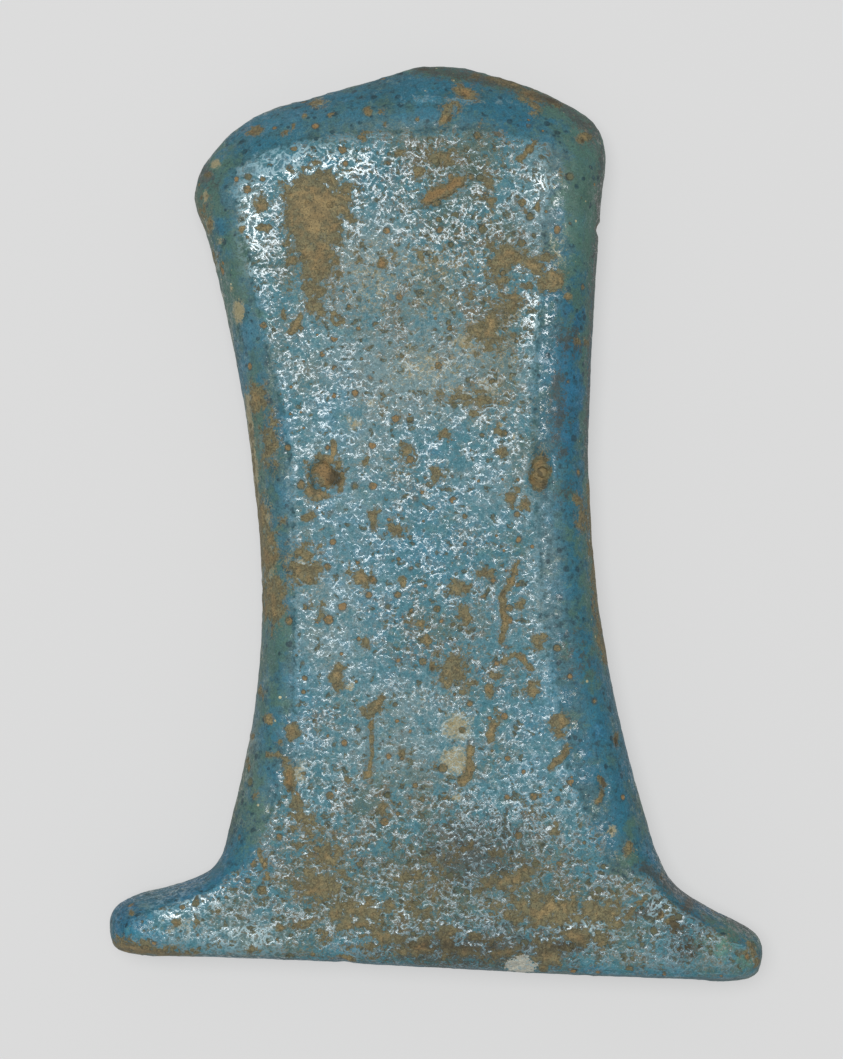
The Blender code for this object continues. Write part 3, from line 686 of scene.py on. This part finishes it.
def stroke_share(x, y, width, strength, *points):
    """1 along a long mark's middle, half at its sides, 0 at twice its width."""
    far = np.full(len(x), 2.0)
    for (start_x, start_y), (end_x, end_y) in zip(points, points[1:]):
        run_x, run_y = end_x - start_x, end_y - start_y
        along = ((x - start_x) * run_x + (y - start_y) * run_y) / (run_x ** 2 + run_y ** 2)
        along = np.clip(along, 0, 1)
        gap = np.hypot(x - start_x - along * run_x, y - start_y - along * run_y)
        far = np.minimum(far, gap / (width / 2))
    return np.clip(1 - far / 2, 0, 1) * strength


def stained(mesh):
    """Gives each point of the skin its share of every kind of mark."""
    x, y, z = rows(mesh.vertices, "co", 3).T / MM
    up = rows(mesh.vertex_normals, "vector", 3)[:, 2]
    lean = FOOT_LEAN * np.clip(FOOT_START - y, 0, 1)
    shares = {
        FACE: np.clip((up - FACE_UPRIGHT + lean) / FACE_FADE, 0, 1) * (z > FACE_LOWEST),
        RIM: np.clip((RIM_TOP - z) / RIM_FADE, 0, 1) * (z > MARKS_LOWEST),
    }
    for kind, spots in MARKS.items():
        share = np.zeros(len(x))
        for spot in spots:
            share = np.maximum(share, spot_share(x, y, *spot))
        for stroke in STROKES.get(kind, ()):
            share = np.maximum(share, stroke_share(x, y, *stroke))
        shares[kind] = share * np.clip(z - MARKS_LOWEST, 0, 1)
    for ring in RINGS:
        shares[DIRT] *= 1 - spot_share(x, y, *ring)
    for kind, share in shares.items():
        carried = mesh.attributes.new(kind, "FLOAT", "POINT")
        carried.data.foreach_set("value", share.astype(np.float32))


def relief_tree(sizes, glaze):
    """The tree that presses the glaze's relief into the skin, with its sizes as inputs."""
    tree = bpy.data.node_groups.new("glaze relief", "GeometryNodeTree")
    tree.interface.new_socket("Geometry", in_out="INPUT", socket_type="NodeSocketGeometry")
    for name, value in sizes.items():
        socket = tree.interface.new_socket(name, in_out="INPUT", socket_type="NodeSocketFloat")
        socket.default_value = value
    tree.interface.new_socket("Geometry", in_out="OUTPUT", socket_type="NodeSocketGeometry")
    board = Board(tree)
    given = tree.nodes.new("NodeGroupInput")
    size = {name: Wire(board, given.outputs[name]) for name in sizes}

    def carried(name):
        return board.node(
            "GeometryNodeInputNamedAttribute", {"data_type": "FLOAT"}, {"Name": name}, "Attribute"
        )

    shift = {axis: size["Seed"] * step for axis, step in SEED_STEP.items()}
    shift = board.node("ShaderNodeCombineXYZ", {}, shift)
    place = board.node("GeometryNodeInputPosition", {}, {})
    place = board.moved(board.scaled(place, 1 / MM), shift)
    kept = board.node(
        "GeometryNodeStoreNamedAttribute", {"data_type": "FLOAT_VECTOR", "domain": "POINT"},
        {"Geometry": Wire(board, given.outputs["Geometry"]), "Name": PLACE, "Value": place},
    )
    face = board.rise(carried(FACE) - carried(SMOOTH), 0.45, 0.75)
    crust = board.rise(crusted(board, place, carried(DIRT)), 0.45, 0.55)
    away = abs(winding(board, place, size["Pit spacing"]))
    share = holed(board, place, face, carried(WASH))
    holes = pinholes(board, place, size["Pinhole spacing"], share)[0]
    waves = board.noise(place, 1.1, 3.0) + board.noise(place, 0.45, 1.0)
    sunk = (
        size["Wave depth"] * board.noise(place, 3.5)
        + size["Rim wave depth"] * (1 - face) * waves
        + size["Crust height"] * (1 - crust)
        + size["Pit depth"] * face * (1 - crust) * board.rise(away, 0.0, 0.15)
        + size["Pinhole depth"] * holes
        + size["Hollow depth"] * carried(HOLLOW)
    )
    offset = board.scaled(board.node("GeometryNodeInputNormal", {}, {}), sunk * -MM)
    moved = board.node("GeometryNodeSetPosition", {}, {"Geometry": kept, "Offset": offset})
    whole = board.node("GeometryNodeRealizeInstances", {}, {"Geometry": moved})
    dressed = board.node("GeometryNodeSetMaterial", {}, {"Geometry": whole, "Material": glaze})
    result = tree.nodes.new("NodeGroupOutput")
    tree.links.new(dressed.socket, result.inputs["Geometry"])
    return tree


def pressed(obj, tree, sizes):
    """Runs the relief's tree on the skin with these sizes, and keeps what it makes."""
    relief = obj.modifiers.new("glaze relief", "NODES")
    relief.node_group = tree
    for item in tree.interface.items_tree:
        if item.in_out == "INPUT" and item.name in sizes:
            relief[item.identifier] = sizes[item.name]
    settled(obj)


class Surface:
    """The glaze, its weathering and the dirt on it, with painted glints and painted shade, built up layer
    by layer.

    Numbers in the layers are shares from 0 to 1, the limits between which a share rises, and
    factors that make a colour lighter or darker. The bump's heights are in millimetres.
    """

    def __init__(self, board, colours, sizes):
        self.board = board
        self.colours = colours
        self.place = self.carried(PLACE, "Vector")
        self.wash = self.carried(WASH)
        self.haze = self.carried(HAZE)
        self.clean = self.carried(DEEP)
        self.gloss = self.carried(GLOSS)
        self.glare = board.rise(self.gloss, 0.75, 1.1)

        # noises from the largest lumps to the finest
        self.cloud = self.spread(2.4, 3.0, 0.6)
        self.patch = self.spread(0.95, 3.0, 0.65)
        self.mottle = self.spread(0.36, 3.0)
        self.grain = self.spread(0.11, 1.0)
        self.grit = self.spread(0.075, 1.0, 0.6)
        face = self.broken(self.carried(FACE) - self.carried(SMOOTH), patch=0.4, mottle=0.3)
        self.face = board.rise(face, 0.4, 0.75)

        # the two nets of ridges, then the pinholes and the crusts of dirt
        self.spacing = sizes["Pit spacing"]
        self.ridge = winding(board, self.place, self.spacing)
        self.away = abs(self.ridge)
        self.fine_ridge = winding(board, self.place, self.spacing * FINE_NET)
        self.fine_away = abs(self.fine_ridge)
        share = holed(board, self.place, self.face, self.wash)
        self.holes, self.around, self.own = pinholes(board, self.place, sizes["Pinhole spacing"], share)
        self.thickness = crusted(board, self.place, self.carried(DIRT))
        self.crust = board.rise(self.thickness, 0.43, 0.57)
        self.dirt = board.larger(self.crust, self.holes)
        groove = abs(winding(board, self.place, 0.45))
        self.thin = board.rise(self.thickness, 1.0, 0.75)
        self.groove = board.rise(groove, 0.05, 0.015) * self.thin
        self.specked = board.rise(board.noise(self.place, 0.1, 1.0), 0.6, 0.67)

    def carried(self, name, output="Fac"):
        """What the skin carries under this name."""
        return self.board.node("ShaderNodeAttribute", {"attribute_name": name}, {}, output)

    def paint(self, name, factor=1.0):
        """One of the glaze's colours, made lighter or darker."""
        return (*(factor * part for part in getattr(self.colours, name)), 1.0)

    def spread(self, size, detail=2.0, rough=0.7):
        """Cloudy noise that makes full use of the range from 0 to 1."""
        return self.board.rise(self.board.noise(self.place, size, detail, rough), 0.34, 0.66)

    def broken(self, share, patch=0, mottle=0, grain=0):
        """A share with its edge broken up by so much of each noise."""
        for noise, amount in ((self.patch, patch), (self.mottle, mottle), (self.grain, grain)):
            if amount:
                share = share + (noise - 0.5) * amount
        return share

    def bare_glaze(self):
        """The colour of the glaze itself, thick and thin, blue and green, with small glints painted on
        its green rims.
        """
        board, paint, face, clean = self.board, self.paint, self.face, self.clean
        cloud, patch, mottle, grain = self.cloud, self.patch, self.mottle, self.grain
        thick = mottle * 0.4 + patch * 0.3 + grain * 0.2 + cloud * 0.1 + (1 - face) * 0.1
        thick = board.rise(thick, 0.3, 0.75)
        glaze = board.mixed(thick, paint("glaze"), paint("deep"))
        blue = board.mixed(thick, paint("blue", 1.45), paint("blue", 0.65))
        unstained = board.rise(self.broken(clean, patch=0.8, mottle=0.3), 0.25, 0.7)
        glaze = board.mixed(unstained * 0.9, glaze, blue)
        pooled = board.rise(self.broken(clean, patch=0.4), 0.8, 1.2)
        glaze = board.mixed(pooled * 0.6, glaze, paint("sapphire"))
        murk = cloud * 0.5 + mottle * 0.35 + grain * 0.2 - clean * 0.4 + self.wash * 0.3
        glaze = board.mixed(board.rise(murk, 0.45, 0.85) * 0.75, glaze, paint("murk"))

        # green on the bevels and sides, most of all along the rims, with dark specks in it
        tint = self.spread(1.1, 3.0, 0.6)
        sheltered = (1 - face) * board.rise(tint - clean * 0.5, 0.35, 0.9)
        glaze = board.mixed(sheltered * 0.4, glaze, paint("olive", 0.55))
        green = self.broken(self.carried(OLIVE) + (tint - 0.5) * 0.6, mottle=0.25, grain=0.15)
        self.green = board.rise(green, 0.1, 0.65)
        moss = board.mixed(thick, paint("olive", 1.3), paint("olive", 0.6))
        glaze = board.mixed(self.green * 0.9, glaze, moss)
        specks = board.rise(board.noise(self.place, 0.3, 3.0, 0.7), 0.52, 0.62)
        specks = (1 - face) * specks * (0.75 - 0.45 * self.green)
        glaze = board.mixed(specks, glaze, paint("deep", 0.7))
        foot = self.broken(self.carried(RIM), patch=0.6, mottle=0.3) - clean * 0.8
        earth = board.mixed(mottle, paint("olive", 0.6), paint("silt", 1.15))
        glaze = board.mixed(board.rise(foot, 0.3, 0.95) * 0.7, glaze, earth)
        # painted highlight: small bright tan dots on the green rims stand in for glints
        glint_flecks = pinholes(board, self.place, 0.3, 0.12 * (1 - face) * self.green)[0]
        return board.mixed(glint_flecks * 0.7, glaze, paint("tan", 1.8))

    def weathered(self, glaze):
        """The glaze under what the weather and the ground left on it, with painted shade on the ridges'
        slopes.
        """
        board, paint, face, wash, haze = self.board, self.paint, self.face, self.wash, self.haze
        cloud, patch, mottle, grain = self.cloud, self.patch, self.mottle, self.grain
        pale = board.rise(haze * 0.6 + patch * 0.35 + mottle * 0.35 + grain * 0.15, 0.15, 0.75)
        pale = pale * (face + (1 - face) * (0.12 + haze * 0.5))
        pale = pale * (1 - 0.5 * self.green) * (1 - 0.7 * wash)
        pale = pale * (1 - 0.7 * board.rise(self.clean, 0.6, 1.2))
        thin = board.rise(self.broken(self.clean, patch=0.3), 0.1, 0.5)
        glaze = board.mixed(pale * 0.8, glaze, board.mixed(thin, paint("pale"), paint("mist")))

        # dark spots on the bevels and sides, and painted shade on the slopes of the face's ridges
        spots = pinholes(board, self.place, 0.5, 0.25 + 0.5 * cloud)[1]
        glaze = board.mixed(spots * (1 - face) * 0.8, glaze, paint("deep", 0.45))
        uneven = mottle * 0.6 + patch * 0.4 + grain * 0.2 - 0.6
        glaze = board.scaled(glaze, 1 + (1 - face) * uneven)
        shaded_flanks = board.rise(self.away, 0.04, 0.08) * board.rise(self.away, 0.16, 0.09) * face
        glaze = board.mixed(shaded_flanks * (0.05 + 0.3 * grain + 0.3 * wash), glaze, paint("deep", 0.8))

        # brown stain over the face, and silt in its pits
        stain = wash * 0.55 + cloud * 0.15 + patch * 0.2 + mottle * 0.2 + grain * 0.2
        self.stain = board.rise(stain, 0.48, 0.9) * face
        earthy = board.rise(patch * 0.6 + mottle * 0.4, 0.4, 0.7)
        soil = board.mixed(earthy, paint("soil"), paint("dirt", 0.52))
        glaze = board.mixed(self.stain * 0.85, glaze, soil)
        level = 0.15 - 0.12 * wash - 0.06 * (patch - 0.5)
        self.fill = board.rise(self.broken(self.ridge, grain=0.05), level, level + 0.03) * face
        silt = board.mixed(mottle * 0.5 + grain * 0.5, paint("silt", 0.45), paint("silt", 1.4))
        glaze = board.mixed(self.fill * 0.85, glaze, silt)

        # grey film, yellow haze, and dark rings round the pinholes
        self.film = board.rise(self.broken(self.carried(GREY), mottle=0.7, grain=0.4), 0.35, 0.95)
        glaze = board.mixed(self.film * 0.8, glaze, paint("film"))
        self.yellow = board.rise(self.broken(self.carried(TAN), mottle=0.3, grain=0.2), 0.3, 0.75)
        glaze = board.mixed(self.yellow * 0.85, glaze, paint("tan"))
        return board.mixed(self.around * (1 - self.holes) * 0.65, glaze, paint("dark"))

    def sand(self):
        """The colour of the crusts of dirt."""
        board, paint, thickness = self.board, self.paint, self.thickness
        cloud, patch, mottle = self.cloud, self.patch, self.mottle
        light = board.rise(patch * 0.6 + mottle * 0.4, 0.3, 0.8)
        sand = board.mixed(light, paint("dirt", 0.8), paint("dirt", 1.2))
        rusty = board.rise(cloud * 0.5 + mottle * 0.5, 0.55, 0.9) * 0.45
        rusty = board.larger(rusty, board.rise(self.carried(RUST), 0.2, 0.6))
        sand = board.mixed(rusty, sand, paint("rust"))
        sand = board.mixed(board.rise(thickness, 1.0, 0.6) * 0.7, sand, paint("silt", 1.5))
        sand = board.mixed(self.specked * 0.7, sand, paint("dark"))
        edge = board.rise(thickness, 0.65, 0.52) * 0.3 * self.thin
        return board.mixed(board.larger(self.groove * 0.6, edge), sand, paint("dark", 1.4))

    def dirtied(self, glaze):
        """The glaze with dust, filled pinholes, crusts, bare patches and dark hollows on it."""
        board, paint, grit = self.board, self.paint, self.grit
        dust = self.broken(self.thickness, grain=0.35) + (grit - 0.5) * 0.2
        glaze = board.mixed(board.rise(dust, 0.22, 0.62) * 0.5, glaze, paint("dirt", 0.7))
        rusty = board.rise(self.broken(self.own - self.wash * 0.5, grain=0.3), 0.0, 0.5)
        mud = board.mixed(rusty, paint("silt", 1.15), paint("rust"))
        base = board.mixed(self.holes * 0.95, glaze, mud)
        base = board.mixed(self.crust * 0.95, base, self.sand())
        bare = board.rise(self.broken(self.carried(BARE), mottle=0.3, grain=0.15), 0.4, 0.5)
        base = board.mixed(bare, base, paint("body"))
        dark = board.rise(self.broken(self.carried(DARK), grain=0.2), 0.3, 0.6)
        base = board.mixed(dark * 0.85, base, paint("dark"))
        base = board.scaled(base, 1 - 0.28 * self.film)
        return board.scaled(base, 0.74 + 0.3 * grit + 0.24 * self.grain)

    def sloped(self, ridge, spacing):
        """How fast a net of ridges rises towards +Y, over one step, and how steep it is."""
        ahead, beside = (
            winding(self.board, self.board.moved(self.place, step), spacing) - ridge
            for step in ((0.0, STEP, 0.0), (STEP, 0.0, 0.0))
        )
        return ahead, self.board.larger((ahead * ahead + beside * beside) ** 0.5, 0.02)

    def shining(self, base):
        """The colour with painted glints on the smooth ridges, and the roughness, lowest on those ridges.
        """
        board, paint, face, glare = self.board, self.paint, self.face, self.glare
        gloss, wash, stain = self.gloss, self.wash, self.stain
        patch, mottle, grain = self.patch, self.mottle, self.grain
        smooth = self.spread(0.3, rough=0.6) * 0.3 + patch * 0.25 + gloss * 0.8
        smooth = board.rise(smooth, 0.32, 0.95) * (1 - 0.3 * stain)
        ahead, steep = self.sloped(self.ridge, self.spacing)
        reach = 0.02 + 0.07 * mottle + 0.025 * board.smaller(gloss, 1.2)
        net = self.broken(self.away * STEP / steep, grain=0.025)
        net = board.rise(net, reach, reach * 0.2)
        fine_ahead, fine_steep = self.sloped(self.fine_ridge, self.spacing * FINE_NET)
        arcs = board.rise(self.fine_away * STEP / fine_steep, 0.02 + 0.06 * grain, 0.01)
        towards_light = fine_ahead * 4 + mottle * 0.6 + patch * 0.3 + grain * 0.2
        arcs = arcs * board.rise(towards_light, 0.6, 0.8)
        lit = board.smaller(gloss, 0.9 - 0.3 * wash)
        lit = self.broken(lit, patch=0.5, mottle=0.45, grain=0.15)
        lit = board.rise(lit + board.rise(ahead, 0.0, 0.05) * 0.3, 0.45, 0.95)
        lit = lit * (1 - self.carried(RIM))

        crest = board.larger(net * lit, arcs * board.rise(smooth, 0.0, 0.3)) * (1 - 0.2 * stain)
        crest = crest * (1 - 0.6 * self.yellow) * (1 - 0.35 * self.haze * (1 - glare))
        # painted highlight: the smooth ridges' colour is lightened towards blue-white, brightest where
        # the glaze glares
        painted_glints = board.larger(net * (0.04 + 0.38 * lit + 0.35 * glare * lit), arcs * 0.5)
        painted_glints = painted_glints * (1 - self.dirt) * board.larger(face, glare * 0.3)
        painted_glint_colour = board.mixed(glare, paint("mist", 1.5), paint("painted_glint_colour"))
        base = board.mixed(painted_glints, base, painted_glint_colour)
        roughness = 0.7 - (0.5 + 0.08 * glare) * crest - 0.06 * self.haze - 0.2 * self.grit * mottle
        rough = board.larger(self.dirt, self.fill * 0.9) * 0.8
        return base, board.larger(roughness, rough)

    def height(self):
        """The bump: ridges between the pits, pinholes, and crusts with their grooves."""
        board, face, crust, dull = self.board, self.face, self.crust, 1 - self.glare
        drop = board.larger(self.away - 0.06, 0.0)
        fine_drop = board.larger(self.fine_away - 0.06, 0.0)
        clear = 1 - 0.7 * crust
        height = board.smaller(drop * drop * 1.8, 0.05) * (0 - face) * clear
        height = height - board.smaller(fine_drop * fine_drop * 0.8, 0.015) * face * clear * dull
        height = height + (self.grit - 0.5) * 0.002 * dull - self.holes * 0.03
        lumps = 0.015 + (self.mottle - 0.5) * 0.012 - self.groove * 0.012 - self.specked * 0.004
        return height + crust * lumps


def glaze_material(colours, sizes):
    """The glaze with all that lies on it."""
    material = bpy.data.materials.new("glaze")
    material.use_nodes = True
    material.node_tree.nodes.clear()
    board = Board(material.node_tree)
    surface = Surface(board, colours, sizes)
    base = surface.dirtied(surface.weathered(surface.bare_glaze()))
    base, roughness = surface.shining(base)
    bump = {"Strength": 1.0, "Distance": MM, "Height": surface.height()}
    bump = board.node("ShaderNodeBump", {}, bump)
    shader = board.node(
        "ShaderNodeBsdfPrincipled", {},
        {"Base Color": base, "Roughness": roughness, "Normal": bump, "IOR": GLAZE_IOR},
    )
    result = board.tree.nodes.new("ShaderNodeOutputMaterial")
    board.tree.links.new(shader.socket, result.inputs["Surface"])
    return material


class AMULET_OT_glazed_body(bpy.types.Operator):
    """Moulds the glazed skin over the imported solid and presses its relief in"""

    bl_idname = "amulet.glazed_body"
    bl_label = "Glazed body"

    def execute(self, context):
        sizes = context.scene.amulet_sizes
        relief = {
            "Pit spacing": sizes.pit_spacing,
            "Pit depth": sizes.pit_depth,
            "Pinhole spacing": sizes.pinhole_spacing,
            "Pinhole depth": sizes.pinhole_depth,
            "Wave depth": sizes.wave_depth,
            "Rim wave depth": sizes.rim_wave_depth,
            "Crust height": sizes.crust_height,
            "Hollow depth": sizes.hollow_depth,
        }
        relief = {name: size / MM for name, size in relief.items()}
        relief["Seed"] = float(sizes.seed)
        glaze = glaze_material(context.scene.glaze_colours, relief)
        skin = solid_copy()
        shell = skin.modifiers.new("shell", "REMESH")
        shell.mode = "VOXEL"
        shell.voxel_size = sizes.grain
        settled(skin)
        evened(skin.data, ROUNDS)
        finer_face(skin.data)
        evened(skin.data, FINE_ROUNDS)
        stained(skin.data)
        pressed(skin, relief_tree(relief, glaze), relief)
        skin.data.shade_smooth()
        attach(skin, "root")
        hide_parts(NODE)
        return {"FINISHED"}


# The photo and the camera
FRAME_PIXELS = (843, 1059)
METRES_PER_PIXEL = 0.050 / 920
OBJECT_MIDDLE = (436.0, 523.0)  # the amulet's middle, in the photo's pixels
RIM_HEIGHT = 2.7 * MM  # where the photo's scale holds
LENS = 120.0  # millimetres, like the sensor
SENSOR = 36.0
CLIP_START = 0.01  # metres

# The floor and the light, in metres and watts
FLOOR_HALF = 0.6
FLOOR_GREY = 0.25
FLOOR_ROUGHNESS = 0.9
FLOOR_GLOW = 0.47
SURROUND_LIGHT = 0.36
SOFTBOX_SIZE = (0.18, 0.16)
SOFTBOX_POWER = 1.04
SOFTBOX_PLACE = (-0.036, 0.036, 0.4)
WHITE = (1.0, 1.0, 1.0, 1.0)


def floor_material():
    """Pale matt floor that glows a little, as a light table does, so that shadows stay faint."""
    material = bpy.data.materials.new("floor")
    material.use_nodes = True
    shader = material.node_tree.nodes["Principled BSDF"]
    shader.inputs["Base Color"].default_value = (FLOOR_GREY, FLOOR_GREY, FLOOR_GREY, 1.0)
    shader.inputs["Roughness"].default_value = FLOOR_ROUGHNESS
    shader.inputs["Specular IOR Level"].default_value = 0.0
    shader.inputs["Emission Color"].default_value = WHITE
    shader.inputs["Emission Strength"].default_value = FLOOR_GLOW
    return material


def placed(name, data, place):
    """A new object at this place. It isn't turned, so a lamp or a camera looks straight down."""
    obj = bpy.data.objects.new(name, data)
    obj.location = place
    bpy.context.scene.collection.objects.link(obj)
    return obj


class AMULET_OT_stage(bpy.types.Operator):
    """Lays the pale floor and sets up the soft light and the camera above it"""

    bl_idname = "amulet.stage"
    bl_label = "Stage"

    def execute(self, context):
        scene = context.scene
        mesh = bpy.data.meshes.new("floor")
        corners = [(x * FLOOR_HALF, y * FLOOR_HALF, 0) for x, y in ((-1, -1), (1, -1), (1, 1), (-1, 1))]
        mesh.from_pydata(corners, [], [(0, 1, 2, 3)])
        mesh.materials.append(floor_material())
        placed("floor", mesh, (0, 0, 0))

        world = bpy.data.worlds.new("studio")
        world.use_nodes = True
        surround = world.node_tree.nodes["Background"]
        surround.inputs["Color"].default_value = WHITE
        surround.inputs["Strength"].default_value = SURROUND_LIGHT
        scene.world = world

        lamp = bpy.data.lights.new("overhead softbox", "AREA")
        lamp.shape = "ELLIPSE"
        lamp.size, lamp.size_y = SOFTBOX_SIZE
        lamp.energy = SOFTBOX_POWER
        placed("overhead softbox", lamp, SOFTBOX_PLACE)

        camera = bpy.data.cameras.new("camera")
        camera.lens = LENS
        camera.sensor_width = SENSOR
        camera.clip_start = CLIP_START
        reach = FRAME_PIXELS[1] * METRES_PER_PIXEL * LENS / SENSOR
        x = (FRAME_PIXELS[0] / 2 - OBJECT_MIDDLE[0]) * METRES_PER_PIXEL
        y = (OBJECT_MIDDLE[1] - FRAME_PIXELS[1] / 2) * METRES_PER_PIXEL
        scene.camera = placed("camera", camera, (x, y, reach + RIM_HEIGHT))
        scene.view_settings.view_transform = "Standard"
        return {"FINISHED"}


class AMULET_PT_panel(bpy.types.Panel):
    """Lists the amulet's steps and their sizes and colours"""

    bl_label = "Axe amulet"
    bl_space_type = "VIEW_3D"
    bl_region_type = "UI"
    bl_category = "Amulet"

    def draw(self, context):
        for operator in OPERATORS:
            self.layout.operator(operator.bl_idname)
        for group in (context.scene.amulet_sizes, context.scene.glaze_colours):
            for name in group.__annotations__:
                self.layout.prop(group, name)


OPERATORS = (AMULET_OT_glazed_body, AMULET_OT_stage)
CLASSES = (AmuletSizes, GlazeColours, *OPERATORS, AMULET_PT_panel)


def register():
    for cls in CLASSES:
        bpy.utils.register_class(cls)
    bpy.types.Scene.amulet_sizes = bpy.props.PointerProperty(type=AmuletSizes)
    bpy.types.Scene.glaze_colours = bpy.props.PointerProperty(type=GlazeColours)


def unregister():
    del bpy.types.Scene.glaze_colours
    del bpy.types.Scene.amulet_sizes
    for cls in reversed(CLASSES):
        bpy.utils.unregister_class(cls)


def main():
    register()
    bpy.ops.amulet.glazed_body()
    bpy.ops.amulet.stage()


if __name__ == "__main__":
    main()
